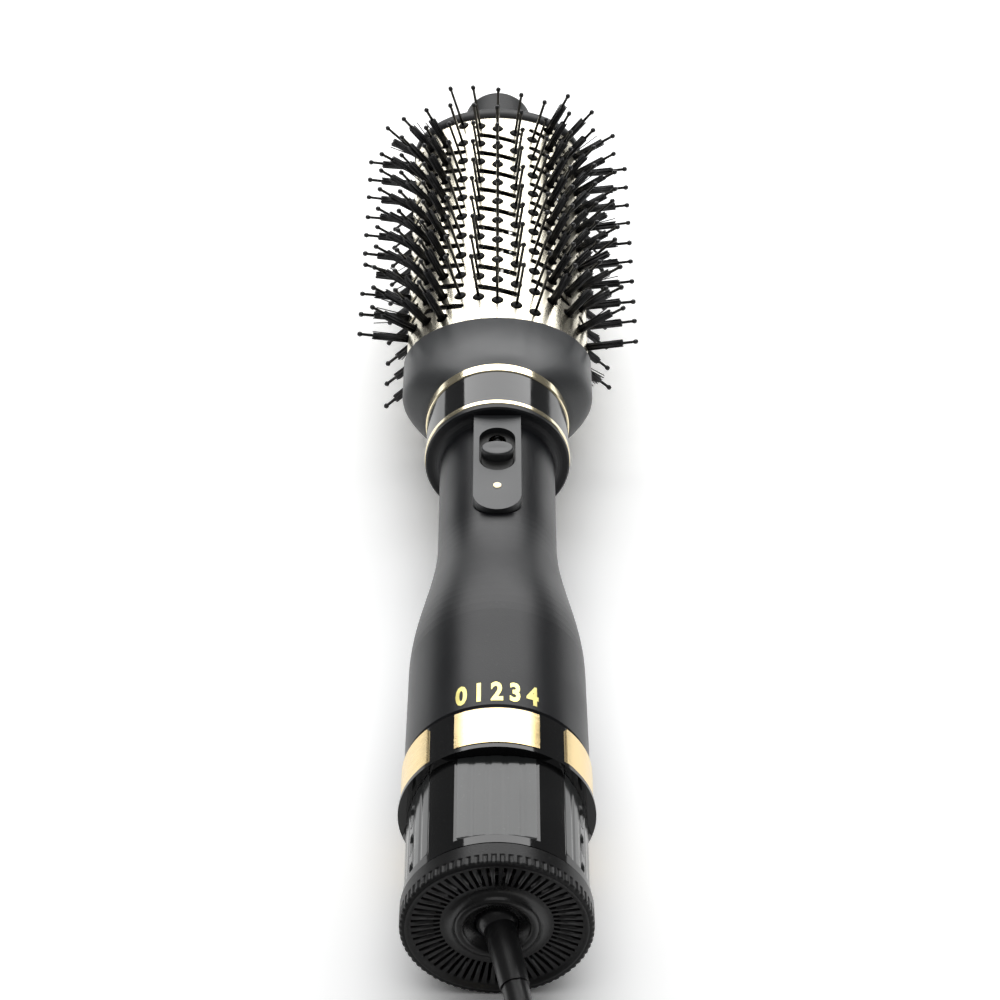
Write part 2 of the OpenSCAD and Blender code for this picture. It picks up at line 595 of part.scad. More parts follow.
rear_cap();
intake_filter();
swivel_retainer();
motor_housing();
motor();
motor_mount();
rotor_shaft();
fan_impeller();
selector_dial();
dial_inlays();
detent_ball();
detent_spring();
selector_switch();
handle_top_shell();
handle_bottom_shell();
shell_screws();
circuit_board();
ion_generator();
heater_sleeve();
heater_frame();
heater_coil();
thermostat();
thermal_fuse();
switch_plate();
indicator_lens();
release_slider();
release_spring();
neck_core();
lower_trim_ring();
neck_band();
upper_trim_ring();
head_spigot();
head_collar();
barrel_sleeve();
strip_frame();
bristle_strips();
end_cap();
cool_tip();
strain_relief();
cord_tube();
cord_coil();
cord_tail();
plug_body();
plug_blades();
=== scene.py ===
"""Looks of the hot air brush: camera, cord, fine pieces, materials, floor and light.

Places on the brush are given as (x, y, z) in millimetres in its own upright frame, as in the
part's source: z runs along the axis from the rear face, the switch side faces -y, x is to the
right seen from the rear. laid() turns such a place into the row frame, in metres.
"""

import json
import math
import random

import bmesh
import bpy
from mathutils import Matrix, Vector
from mathutils.geometry import delaunay_2d_cdt

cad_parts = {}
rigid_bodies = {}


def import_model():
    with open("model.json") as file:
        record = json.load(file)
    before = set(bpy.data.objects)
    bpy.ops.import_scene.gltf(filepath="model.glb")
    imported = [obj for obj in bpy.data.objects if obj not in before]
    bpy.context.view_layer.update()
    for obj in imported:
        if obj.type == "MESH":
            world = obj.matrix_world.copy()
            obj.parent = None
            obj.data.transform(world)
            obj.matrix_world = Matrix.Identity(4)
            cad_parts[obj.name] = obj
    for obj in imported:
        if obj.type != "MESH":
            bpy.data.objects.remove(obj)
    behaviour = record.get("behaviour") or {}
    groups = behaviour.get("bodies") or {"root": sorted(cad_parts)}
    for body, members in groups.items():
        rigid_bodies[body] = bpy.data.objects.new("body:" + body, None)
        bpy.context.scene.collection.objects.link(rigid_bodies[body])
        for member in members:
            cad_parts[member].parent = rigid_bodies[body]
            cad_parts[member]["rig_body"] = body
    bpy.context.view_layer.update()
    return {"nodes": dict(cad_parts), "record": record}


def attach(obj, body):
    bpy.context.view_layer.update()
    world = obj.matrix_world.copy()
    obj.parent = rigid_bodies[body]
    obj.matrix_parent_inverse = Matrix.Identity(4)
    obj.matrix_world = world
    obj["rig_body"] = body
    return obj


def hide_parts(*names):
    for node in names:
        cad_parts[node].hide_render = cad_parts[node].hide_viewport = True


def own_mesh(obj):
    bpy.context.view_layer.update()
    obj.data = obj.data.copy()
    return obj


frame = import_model()
nodes = frame["nodes"]
joints = {j["name"]: j for j in frame["record"]["behaviour"]["joints"]}

MM = 0.001

# -------------------- the brush's own frame
dial_turn = joints["selector_turn"]
AXIS = Vector(dial_turn["axis"]).normalized()
REAR = Vector(dial_turn["pos_m"]) - 30 * MM * AXIS
RIGHT = Vector((1, 0, 0))
DOWN = Vector((0, AXIS.z, -AXIS.y))


def laid(x, y, z):
    return REAR + MM * (x * RIGHT + y * DOWN + z * AXIS)


def turned(v):
    return v[0] * RIGHT + v[1] * DOWN + v[2] * AXIS


def upright(p):
    """The way back from laid(), in millimetres."""
    off = (Vector(p) - REAR) / MM
    return off.dot(RIGHT), off.dot(DOWN), off.dot(AXIS)


# -------------------- sizes, as in the part's source
COLLAR_TO = 239.5
BARREL_FROM = COLLAR_TO - 6
BARREL_TO = 360.0
BARREL_A = 29.2
BARREL_B = 18.7
SLEEVE_WALL = 0.5
COLUMNS = 25
ROWS = 10
ROW_PITCH = 11.43
ROW_SHIFT = ROW_PITCH * 5 / COLUMNS
ROWS_FROM = COLLAR_TO + 5.1
ROW_MIDDLE = COLLAR_TO + 10.3
ROOT_R = 2.0
SLOT_WIDE = 2.7
# the column that each row of slots is centred on, and half its reach, in columns
SLOT_ROWS = ((-12.5, 1.7), *((column, 1.2) for column in range(-9, 10, 3)))

PIN_LEN = 16.6
PIN_UNDER = 1.5
STALK_R = 0.52
STALK_TIP_R = 0.48
BALL_R = 0.9
BOSS_R = 1.85
TUFT_LEN = 11.4
TUFT_UNDER = 1.2
TUFT_R = 1.2
FILAMENTS = 32
FILAMENT_R = 0.2
FILAMENT_TIP_R = 0.18
STRIP_HALF = 0.95
STRIP_TOP = 0.95
STRIP_UNDER = 2.35

CAP_R = 25.0
CAP_LEN = 7.0
CAP_FACE_R = CAP_R - 1.4
CAP_BAND_R = CAP_R - 1.6
RIM_TEETH = 72
DIAL_R = 24.5
PANELS = 5
PANEL_HALF = 11.0
PANEL_FROM = 10.0
PANEL_TO = 39.2
PAD_CROWN = 40.0
PAD_SINK = 1.15
PAD_GAP = 0.75
PAD_EDGE_R = 1
PAD_CORNER = (1.2, 1.6)
FLUTES = (-6.6, -2.2, 2.2, 6.6)
FLUTE_HALF = 0.9
FLUTE_DEEP = 0.16
POCKETS = (12.5, 22.5, 32.5)
POCKET_R = 1.6
POCKET_REACH = 2
POCKET_DEEP = 1.1
POCKET_SLOPE = 0.45

RELEASE_FROM = 162.7
SLED_HALF = 4.9
SLED_LEN = 11
SLED_UNDER = 17.5
SLED_TOP = 18.7
SLED_EDGE = 0.25
LEG_HALF = 2.4
LEG_FROM = 168.7
LEG_TO = 172.7
LEG_UNDER = 14.6
ROD_R = 0.8
ROD_OUT = 15.7
ROD_FROM = 171.7
ROD_TO = 195.7
BUTTON_A = 4.85
BUTTON_B = 3.4
BUTTON_AT = RELEASE_FROM + 7.6
SEAL_UNDER = 17.2
SEAL_TOP = 17.42

NUMBER_SIZE = 9.0
NUMBER_STROKE = 0.34
NUMBER_NARROW = 0.72
NUMBER_TALL = 1.05
NUMBERS_AT = 61.2
NUMBER_STEP = 4.9
GRIP_R = 24.83
GRIP_SWELL = 0.35
GRIP_TO = 92
GRIP_LEN = 36.2

# how far pins, tufts and single filaments lean, and how many of them do
PIN_SWAY = 0.02
LOOSE_SWAY = 0.2
LOOSE_SHARE = 0.05
TUFT_SWAY = 0.02
STRAY_SWAY = 0.16
STRAY_SHARE = 0.02
GOLDEN_TURN = 2.39996

# -------------------- camera
CAMERA_AT = (0.8, -530, -470)
LOOK_DOWN = 39.55
LENS = 99

camera_data = bpy.data.cameras.new("camera")
camera_data.sensor_width = 36
camera_data.lens = LENS
camera = bpy.data.objects.new("camera", camera_data)
bpy.context.scene.collection.objects.link(camera)
camera.location = laid(*CAMERA_AT)
camera.rotation_euler = (math.radians(90 - LOOK_DOWN) + math.asin(AXIS.z), 0, 0)
bpy.context.scene.camera = camera


# -------------------- meshes
def new_object(name, mesh):
    piece = bpy.data.objects.new(name, mesh)
    bpy.context.scene.collection.objects.link(piece)
    return piece


def mesh_of(name, points, faces, smooth=True):
    mesh = bpy.data.meshes.new(name)
    mesh.from_pydata([tuple(p) for p in points], [], faces)
    mesh.update()
    if smooth:
        mesh.polygons.foreach_set("use_smooth", [True] * len(mesh.polygons))
    return mesh


def from_bmesh(name, made, crease=35):
    mesh = bpy.data.meshes.new(name)
    made.to_mesh(mesh)
    made.free()
    mesh.polygons.foreach_set("use_smooth", [True] * len(mesh.polygons))
    mesh.set_sharp_from_angle(angle=math.radians(crease))
    return new_object(name, mesh)


def loft(rings, closed_ends=True):
    """Points and faces of a skin over rings that all have the same number of points."""
    n = len(rings[0])
    points = [p for ring in rings for p in ring]
    faces = []
    for j in range(len(rings) - 1):
        for k in range(n):
            a, b = j * n + k, j * n + (k + 1) % n
            faces.append((a, b, b + n, a + n))
    if closed_ends:
        faces.append(tuple(range(n))[::-1])
        faces.append(tuple((len(rings) - 1) * n + k for k in range(n)))
    return points, faces


def finished(name, points, faces, crease=35):
    """A closed piece with its normals outward."""
    made = bmesh.new()
    made.from_mesh(mesh_of(name, points, faces))
    bmesh.ops.remove_doubles(made, verts=made.verts, dist=1e-6)
    bmesh.ops.recalc_face_normals(made, faces=made.faces)
    return from_bmesh(name, made, crease)


def merged_copy(node):
    """A copy of a CAD solid with its loose triangles joined."""
    made = bmesh.new()
    made.from_mesh(nodes[node].data)
    bmesh.ops.remove_doubles(made, verts=made.verts, dist=1e-6)
    return made


def joined(name, parts, crease=35):
    """One piece of several closed skins, each given by its points and faces."""
    points, faces = [], []
    for more, found in parts:
        faces += [tuple(len(points) + i for i in face) for face in found]
        points += more
    return finished(name, points, faces, crease)


def ring_shaped(name, rings, crease):
    """A closed skin whose last ring joins the first."""
    return finished(name, *loft([*rings, rings[0]], closed_ends=False), crease)


def band(name, sections):
    """A closed ring: every section is the same loop of (r, z), spread evenly round the axis."""
    rings = []
    for k, section in enumerate(sections):
        a = 2 * math.pi * k / len(sections)
        rings.append([laid(r * math.sin(a), -r * math.cos(a), z) for r, z in section])
    return ring_shaped(name, rings, 14)


# -------------------- cord
CORD_R = 3.5 * MM
CORD_ROUTE = (
    (0.006, -0.218, 0.0209),
    (0.0078, -0.224, 0.019),
    (0.0106, -0.230, 0.0159),
    (0.0139, -0.236, 0.0123),
    (0.0172, -0.242, 0.0088),
    (0.0199, -0.248, 0.006),
    (0.0215, -0.254, 0.0043),
    (0.0219, -0.260, 0.0036),
    (0.0213, -0.266, 0.0035),
)
TAIL_ROUTE = (
    (-0.072, -0.2905, 0.0125),
    (-0.0755, -0.278, 0.0155),
    (-0.074, -0.266, 0.0182),
    (-0.0675, -0.2565, 0.0205),
    (-0.057, -0.251, 0.022),
    (-0.046, -0.250, 0.0228),
    (-0.036, -0.250, 0.023),
)
COIL_AT = (-0.028, -0.270)
RING_R = (0.0485, 0.0415, 0.0345, 0.0275)


def ease(t):
    t = min(max(t, 0), 1)
    return t * t * (3 - 2 * t)


def coil_points():
    """Four turns inward on the table, then four outward on top of them. Each layer steps
    from ring to ring in one sector, and the cord climbs in another, so no turns cross."""
    points = []
    for f in range(185, 2836, 5):
        if f < 1500:
            turn = (f - 180) / 360
            ring = min(int(turn), 3)
            step = (turn - ring - 5 / 6) * 6 if ring < 3 else 0
            r = RING_R[ring] + (RING_R[min(ring + 1, 3)] - RING_R[ring]) * min(max(step, 0), 1)
        else:
            ring = min(max((f - 1800) // 360 + 1, 0), 3)
            step = (f - 1800) % 360 / 60 if f >= 1800 else 1
            inner = RING_R[3 - max(ring - 1, 0)]
            r = inner + (RING_R[3 - ring] - inner) * min(step, 1)
        z = 0.0035 + 0.007 * ease((f - 1500) / 60)
        a = math.radians(f)
        points.append((COIL_AT[0] - r * math.cos(a), COIL_AT[1] + r * math.sin(a), z))
    return points


def smooth_line(points, steps):
    """A Catmull-Rom line through the points."""
    points = [Vector(p) for p in points]
    padded = [2 * points[0] - points[1], *points, 2 * points[-1] - points[-2]]
    line = []
    for p, q, r, s in zip(padded, padded[1:], padded[2:], padded[3:]):
        for i in range(steps):
            t = i / steps
            square, cube = 2 * p - 5 * q + 4 * r - s, 3 * q - p - 3 * r + s
            line.append(0.5 * (2 * q + (r - p) * t + square * t * t + cube * t**3))
    return [*line, points[-1]]


swivel = joints["cord_swivel_turn"]
cord_exit = Vector(swivel["pos_m"]) + 22 * MM * Vector(swivel["axis"]).normalized()
wound = coil_points()
cord_line = smooth_line([cord_exit, *CORD_ROUTE], 4) + wound[1:-1]
cord_line += smooth_line([wound[-1], *TAIL_ROUTE], 4)
cord_curve = bpy.data.curves.new("mains_cord", "CURVE")
cord_curve.dimensions = "3D"
cord_curve.bevel_depth = CORD_R
cord_curve.bevel_resolution = 3
cord_curve.use_fill_caps = True
spline = cord_curve.splines.new("POLY")
spline.points.add(len(cord_line) - 1)
for point, place in zip(spline.points, cord_line):
    point.co = (*place, 1)
spline.use_smooth = True
cord = new_object("mains_cord", cord_curve)


# -------------------- the oval barrel
def oval_table(steps=1440):
    """Arc length along the oval from the front, against the angle."""
    table = [0.0]
    for i in range(steps):
        a, b = 2 * math.pi * i / steps, 2 * math.pi * (i + 1) / steps
        across = BARREL_A * (math.sin(b) - math.sin(a))
        table.append(table[-1] + math.hypot(across, BARREL_B * (math.cos(b) - math.cos(a))))
    return table


ARC = oval_table()
GIRTH = ARC[-1]
PITCH = GIRTH / COLUMNS


def oval_angle(u):
    """Angle from the front at the arc length u."""
    u %= GIRTH
    low, high = 0, len(ARC) - 1
    while high - low > 1:
        middle = (low + high) // 2
        if ARC[middle] > u:
            high = middle
        else:
            low = middle
    t = (u - ARC[low]) / (ARC[high] - ARC[low])
    return 2 * math.pi * (low + t) / (len(ARC) - 1)


def on_oval(u, out=0.0):
    """Place and outward direction on the oval, at u along its girth."""
    g = oval_angle(u)
    n = Vector((BARREL_B * math.sin(g), -BARREL_A * math.cos(g))).normalized()
    return Vector((BARREL_A * math.sin(g), -BARREL_B * math.cos(g))) + out * n, n


def first_row(column):
    """The rows climb round the barrel: each column stands a little nearer the collar."""
    return ROWS_FROM + (ROW_MIDDLE - ROW_SHIFT * column - ROWS_FROM) % ROW_PITCH


def row_at(column, row):
    return first_row(column) + row * ROW_PITCH


def has_tuft(column):
    return 3 <= abs(column) <= 9


def is_bare(column):
    """A bare stripe runs along each side of the barrel, between the tufts."""
    return abs(column) == 7


SLANT = Vector((PITCH, -ROW_SHIFT)).normalized()


def slot_half(reach):
    """From a slot's middle to the middle of its round end."""
    return reach * math.hypot(PITCH, ROW_SHIFT) - SLOT_WIDE / 2


SLOTS = [
    (Vector((middle * PITCH, row_at(middle, row + 0.5))), slot_half(reach))
    for middle, reach in SLOT_ROWS
    for row in range(ROWS - 1)
]


def slot_outline(middle, half):
    """A long slot with round ends, along the slant of the rows."""
    side = Vector((-SLANT[1], SLANT[0]))
    r = SLOT_WIDE / 2
    loop = []
    for way in (1, -1):
        for k in range(7):
            a = math.radians(30 * k - 90)
            loop.append(middle + way * (half + r * math.cos(a)) * SLANT + way * r * math.sin(a) * side)
    return loop


def root_outline(column, row):
    middle = Vector((column * PITCH, row_at(column, row)))
    turns = [math.pi * k / 10 for k in range(20)]
    return [middle + ROOT_R * Vector((math.cos(a), math.sin(a))) for a in turns]


def sleeve_layout():
    """The openings of the sleeve, cut open under the barrel and laid flat."""
    columns = [column for column in range(-14, 11) if not is_bare(column)]
    roots = [root_outline(column, row) for column in columns for row in range(ROWS)]
    return roots + [slot_outline(middle, half) for middle, half in SLOTS]


def in_opening(p):
    """Whether a place on the flat sheet lies in a root or in a slot."""
    column = round(p[0] / PITCH)
    row = min(max(round((p[1] - first_row(column)) / ROW_PITCH), 0), ROWS - 1)
    off = math.hypot(p[0] - column * PITCH, p[1] - row_at(column, row))
    if off < 0.99 * ROOT_R and not is_bare(column):
        return True
    for middle, half in SLOTS:
        if abs(p[1] - middle[1]) < ROW_PITCH / 2 and abs(p[0] - middle[0]) < half + SLOT_WIDE:
            off = Vector(p[:2]) - middle
            along = min(max(off.dot(SLANT), -half), half)
            if (off - along * SLANT).length < 0.495 * SLOT_WIDE:
                return True
    return False


def build_sleeve():
    """The metal sleeve: one sheet with round roots and long slots, wrapped round the oval."""
    left, right = -14.5 * PITCH, 10.5 * PITCH
    low, high = BARREL_FROM, BARREL_TO
    cuts = 100
    flat, edges = [], []

    def add(loop, closed):
        start = len(flat)
        flat.extend(loop)
        edges.extend((start + i, start + i + 1) for i in range(len(loop) - 1))
        if closed:
            edges.append((len(flat) - 1, start))

    for i in range(cuts + 1):
        u = left + (right - left) * i / cuts
        add([Vector((u, low)), Vector((u, COLLAR_TO + 2)), Vector((u, high))], False)
    add([Vector((left, low)), Vector((right, low))], False)
    add([Vector((left, high)), Vector((right, high))], False)
    for loop in sleeve_layout():
        add(loop, True)
    points, _, faces, _, _, _ = delaunay_2d_cdt(flat, edges, [], 0, 1e-5)
    made = bmesh.new()
    outer, inner = [], []
    for p in points:
        place, n = on_oval(p[0])
        outer.append(made.verts.new(laid(place[0], place[1], p[1])))
        place = place - SLEEVE_WALL * n
        inner.append(made.verts.new(laid(place[0], place[1], p[1])))
    count = {}
    kept = []
    for face in faces:
        middle = sum((points[i] for i in face), Vector((0, 0))) / len(face)
        if in_opening(middle):
            continue
        kept.append(face)
        for a, b in zip(face, (*face[1:], face[0])):
            count[(a, b)] = count.get((a, b), 0) + 1
    for face in kept:
        made.faces.new([outer[i] for i in face])
        made.faces.new([inner[i] for i in reversed(face)])
    for a, b in count:
        from_edge = min(abs(points[a][0] - left), abs(points[a][0] - right))
        seam = abs(points[a][0] - points[b][0]) < 1e-6 and from_edge < 1e-3
        if (b, a) not in count and not seam:
            made.faces.new([outer[b], outer[a], inner[a], inner[b]])
    bmesh.ops.remove_doubles(made, verts=made.verts, dist=2e-6)
    loose = [v for v in made.verts if not v.link_faces]
    bmesh.ops.delete(made, geom=loose, context="VERTS")
    bmesh.ops.recalc_face_normals(made, faces=made.faces)
    return from_bmesh("slotted_barrel", made, 40)


sleeve = build_sleeve()


# -------------------- bristles
def template(name, points, faces):
    """A shape that is only copied; it is not linked into the scene."""
    return bpy.data.objects.new(name, mesh_of(name, points, faces))


def ring_mm(r, z, sides):
    """A level ring of points, given in millimetres."""
    turns = [2 * math.pi * k / sides for k in range(sides)]
    return [(r * MM * math.cos(a), r * MM * math.sin(a), z * MM) for a in turns]


def maths(tree, kind, a, b):
    """A Math node in any tree, from sockets or numbers."""
    node = tree.nodes.new("ShaderNodeMath")
    node.operation = kind
    for i, v in enumerate((a, b)):
        if isinstance(v, (int, float)):
            node.inputs[i].default_value = v
        else:
            tree.links.new(v, node.inputs[i])
    return node.outputs[0]


def scatter_tree(name):
    """Stands copies of a shape on points, each along its own direction, with a seeded tilt,
    turn and length, and gives them one material."""
    tree = bpy.data.node_groups.new(name, "GeometryNodeTree")
    face = tree.interface
    face.new_socket(name="Geometry", in_out="INPUT", socket_type="NodeSocketGeometry")
    for label, kind, value in (
        ("Shape", "NodeSocketObject", None),
        ("Material", "NodeSocketMaterial", None),
        ("Tilt", "NodeSocketFloat", 0.05),
        ("Length Change", "NodeSocketFloat", 0.05),
        ("Seed", "NodeSocketInt", 0),
    ):
        socket = face.new_socket(name=label, in_out="INPUT", socket_type=kind)
        if value is not None:
            socket.default_value = value
    face.new_socket(name="Geometry", in_out="OUTPUT", socket_type="NodeSocketGeometry")
    new, link = tree.nodes.new, tree.links.new
    given, out = new("NodeGroupInput").outputs, new("NodeGroupOutput").inputs
    direction = new("GeometryNodeInputNamedAttribute")
    direction.data_type = "FLOAT_VECTOR"
    direction.inputs["Name"].default_value = "direction"
    align = new("FunctionNodeAlignRotationToVector")
    align.axis = "Z"
    link(direction.outputs["Attribute"], align.inputs["Vector"])
    other_way = maths(tree, "MULTIPLY", given["Tilt"], -1)
    low, high = new("ShaderNodeCombineXYZ"), new("ShaderNodeCombineXYZ")
    for axis in ("X", "Y"):
        link(other_way, low.inputs[axis])
        link(given["Tilt"], high.inputs[axis])
    high.inputs["Z"].default_value = 2 * math.pi
    lean = new("FunctionNodeRandomValue")
    lean.data_type = "FLOAT_VECTOR"
    link(low.outputs[0], lean.inputs["Min"])
    link(high.outputs[0], lean.inputs["Max"])
    link(given["Seed"], lean.inputs["Seed"])
    rotate = new("FunctionNodeRotateRotation")
    rotate.rotation_space = "LOCAL"
    link(align.outputs["Rotation"], rotate.inputs["Rotation"])
    link(lean.outputs["Value"], rotate.inputs["Rotate By"])
    change = new("FunctionNodeRandomValue")
    change.data_type = "FLOAT"
    link(maths(tree, "SUBTRACT", 1, given["Length Change"]), change.inputs[2])
    link(maths(tree, "ADD", 1, given["Length Change"]), change.inputs[3])
    link(given["Seed"], change.inputs["Seed"])
    scale = new("ShaderNodeCombineXYZ")
    scale.inputs["X"].default_value = scale.inputs["Y"].default_value = 1
    link(change.outputs[1], scale.inputs["Z"])
    shape = new("GeometryNodeObjectInfo")
    link(given["Shape"], shape.inputs["Object"])
    stand = new("GeometryNodeInstanceOnPoints")
    link(given["Geometry"], stand.inputs["Points"])
    link(shape.outputs["Geometry"], stand.inputs["Instance"])
    link(rotate.outputs["Rotation"], stand.inputs["Rotation"])
    link(scale.outputs[0], stand.inputs["Scale"])
    real, dress = new("GeometryNodeRealizeInstances"), new("GeometryNodeSetMaterial")
    link(stand.outputs["Instances"], real.inputs["Geometry"])
    link(real.outputs["Geometry"], dress.inputs["Geometry"])
    link(given["Material"], dress.inputs["Material"])
    link(dress.outputs["Geometry"], out["Geometry"])
    return tree


def scattered(name, tree, stands, shape, material, tilt, change, seed):
    """Runs the tree over (place, direction) pairs and returns the plain mesh as a piece."""
    holder = new_object(name + "_stands", mesh_of(name + "_stands", [p for p, _ in stands], []))
    attribute = holder.data.attributes.new("direction", "FLOAT_VECTOR", "POINT")
    attribute.data.foreach_set("vector", [c for _, d in stands for c in d])
    modifier = holder.modifiers.new("scatter", "NODES")
    modifier.node_group = tree
    ids = {s.name: s.identifier for s in tree.interface.items_tree if s.in_out == "INPUT"}
    values = {"Shape": shape, "Material": material, "Tilt": tilt, "Length Change": change, "Seed": seed}
    for label, value in values.items():
        modifier[ids[label]] = value
    graph = bpy.context.evaluated_depsgraph_get()
    mesh = bpy.data.meshes.new_from_object(holder.evaluated_get(graph), depsgraph=graph)
    mesh.name = name
    holder.modifiers.clear()
    bpy.data.objects.remove(holder)
    return new_object(name, mesh)


def pin_shape():
    """A stalk with a ball at its tip, rooted under the sleeve's face."""
    ball = PIN_LEN - BALL_R
    rings = [ring_mm(STALK_R, -PIN_UNDER, 6), ring_mm(STALK_TIP_R, ball - 0.85 * BALL_R, 6)]
    for degrees in (-35, 0, 35, 65):
        a = math.radians(degrees)
        rings.append(ring_mm(BALL_R * math.cos(a), ball + BALL_R * math.sin(a), 6))
    return template("pin", *loft(rings))


def boss_shape():
    """The low round root of a pin that stands without a tuft."""
    profile = ((BOSS_R, -PIN_UNDER), (BOSS_R, 0.1), (1.6, 0.4), (0.7, 0.6))
    return template("boss", *loft([ring_mm(r, z, 14) for r, z in profile]))


def filament_shape():
    """One nylon filament of a tuft."""
    rings = [ring_mm(FILAMENT_R, -TUFT_UNDER, 4), ring_mm(FILAMENT_TIP_R, TUFT_LEN, 4)]
    return template("filament", *loft(rings))


def root_places():
    """Where each bristle stands on the sleeve, the way it points, and whether it has a tuft."""
    for column in range(-12, 13):
        place, n = on_oval(column * PITCH)
        out = turned((n[0], n[1], 0))
        for row in range(0 if is_bare(column) else ROWS):
            yield laid(place[0], place[1], row_at(column, row)), out, has_tuft(column)


def swayed(across):
    """A random way across and along the barrel."""
    return random.uniform(-1, 1) * across + random.uniform(-1, 1) * AXIS


def build_bristles(pin_material, tuft_material, root_material):
    """Ball-tipped pins. Those at the sides have a tuft round them, the others a low root."""
    random.seed(7)
    tree = scatter_tree("bristle_scatter")
    pins, tufts, bosses = [], [], []
    for place, out, tuft in root_places():
        across = out.cross(AXIS).normalized()
        lean = LOOSE_SWAY if tuft and random.random() < LOOSE_SHARE else PIN_SWAY
        pins.append((place, (out + lean * swayed(across)).normalized()))
        if not tuft:
            bosses.append((place, out))
            continue
        bend = TUFT_SWAY * swayed(across)
        for k in range(FILAMENTS):
            r = TUFT_R * math.sqrt((k + 0.5) / FILAMENTS)
            a = GOLDEN_TURN * k + random.uniform(-0.3, 0.3)
            side = r * (math.cos(a) * across + math.sin(a) * AXIS)
            stray = Vector()
            if random.random() < STRAY_SHARE:
                stray = STRAY_SWAY * random.choice((-1, 1)) * across
            tufts.append((place + MM * side, (out + bend + stray).normalized()))
    return (
        scattered("bristle_pins", tree, pins, pin_shape(), pin_material, 0.0, 0.0, 3),
        scattered("bristle_tufts", tree, tufts, filament_shape(), tuft_material, 0.015, 0.03, 5),
        scattered("pin_roots", tree, bosses, boss_shape(), root_material, 0.0, 0.0, 4),
    )


def build_strips():
    """The carrier strips that lie under the sleeve, one to a column."""
    corners = (
        (-STRIP_HALF, -STRIP_UNDER),
        (STRIP_HALF, -STRIP_UNDER),
        (STRIP_HALF, -STRIP_TOP),
        (-STRIP_HALF, -STRIP_TOP),
    )
    parts = []
    for column in range(COLUMNS):
        place, n = on_oval(column * PITCH)
        across = Vector((-n[1], n[0]))
        loop = [place + s * across + d * n for s, d in corners]
        parts.append(loft([[laid(p[0], p[1], z) for p in loop] for z in (BARREL_FROM, BARREL_TO)]))
    return joined("carrier_strips", parts)


# -------------------- rear cap, dial and release
def build_cap_face():
    """The cap's slotted face and hub, drawn in a little so that the rim band goes round it."""
    made = merged_copy("rear_cap")
    for v in made.verts:
        x, y, z = upright(v.co)
        r = math.hypot(x, y)
        if r > CAP_FACE_R:
            v.co = laid(x * CAP_FACE_R / r, y * CAP_FACE_R / r, z)
    bmesh.ops.remove_doubles(made, verts=made.verts, dist=1e-6)
    bmesh.ops.dissolve_degenerate(made, edges=made.edges, dist=1e-7)
    return from_bmesh("rear_cap_face", made)


def build_cap_rim():
    """The cap's smooth outer band. Each fine tooth round its rear edge is a flat crest and a
    round gap, given as depths."""
    tooth = (0, 0, 0, 0.2, 0.28, 0.2)
    sections = []
    for k in range(RIM_TEETH * len(tooth)):
        r = CAP_R - tooth[k % len(tooth)]
        section = [(CAP_BAND_R, 0.05), (r - 0.6, 0), (r - 0.15, 0.2), (r, 0.6), (r, 2.6), (CAP_R, 3.0)]
        section += [(CAP_R, CAP_LEN - 0.4), (CAP_R - 0.4, CAP_LEN), (CAP_BAND_R, CAP_LEN - 0.05)]
        sections.append(section)
    return band("rear_cap_rim", sections)


def pad_outer(x, z, pockets):
    """How far the face of a grip pad stands from the axis."""
    out = DIAL_R - PAD_SINK - x * x / (2 * PAD_CROWN)
    for flute in FLUTES:
        out -= FLUTE_DEEP * max(0, 1 - ((x - flute) / FLUTE_HALF) ** 2)
    if z < PANEL_FROM + PAD_EDGE_R:
        out -= PAD_EDGE_R - math.sqrt(PAD_EDGE_R**2 - (PANEL_FROM + PAD_EDGE_R - z) ** 2)
    for middle in pockets:
        off = math.hypot(x, max(abs(z - middle) - POCKET_REACH, 0))
        out -= POCKET_DEEP * min(max((POCKET_R - off) / POCKET_SLOPE, 0), 1)
    return out


def pad_skin(turn, pockets):
    """Points and faces of one crowned pad, which fills a flat of the dial."""
    across, along = 66, 72
    wide = across + 1
    flat_at = math.sqrt(DIAL_R**2 - PANEL_HALF**2) - 0.05
    corner_in, corner_back = PAD_CORNER
    cos, sin = math.cos(turn), math.sin(turn)

    def place(x, out, z):
        return laid(x * cos + out * sin, x * sin - out * cos, z)

    points, faces = [], []
    for j in range(along + 1):
        z = PANEL_FROM + (PANEL_TO - PANEL_FROM) * j / along
        near = max(PANEL_FROM + corner_back - z, 0) / corner_back
        half = PANEL_HALF - PAD_GAP - corner_in * (1 - math.sqrt(1 - near * near))
        for i in range(wide):
            x = half * (2 * i / across - 1)
            points.append(place(x, pad_outer(x, z, pockets), z))
    for j in range(along):
        for i in range(across):
            a = j * wide + i
            faces.append((a, a + 1, a + wide + 1, a + wide))
    rim = list(range(wide))
    rim += [j * wide + across for j in range(1, along + 1)]
    rim += [along * wide + i for i in range(across - 1, -1, -1)]
    rim += [j * wide for j in range(along - 1, 0, -1)]
    under = len(points)
    for index in rim:
        x, y, z = upright(points[index])
        points.append(place(x * cos + y * sin, flat_at, z))
    for n, index in enumerate(rim):
        m = (n + 1) % len(rim)
        faces.append((index, under + n, under + m, rim[m]))
    faces.append(tuple(range(under, len(points))))
    return points, faces


def build_pads():
    """The dial's five grip pads. All but the front one have small air pockets."""
    parts = [pad_skin(2 * math.pi * k / PANELS, POCKETS if k else ()) for k in range(PANELS)]
    return joined("dial_grip_pads", parts, 40)


def pill_outline(half, start, length):
    """A long shape with round ends, as (x, z) places going round."""
    loop = []
    for middle, turn in ((start + half, 180), (start + length - half, 0)):
        for k in range(17):
            a = math.radians(turn + 180 * k / 16)
            loop.append((half * math.cos(a), middle + half * math.sin(a)))
    return loop


def standing(loop, out):
    """A loop of (x, z) places, set at its distance from the axis."""
    return [laid(x, -out, z) for x, z in loop]


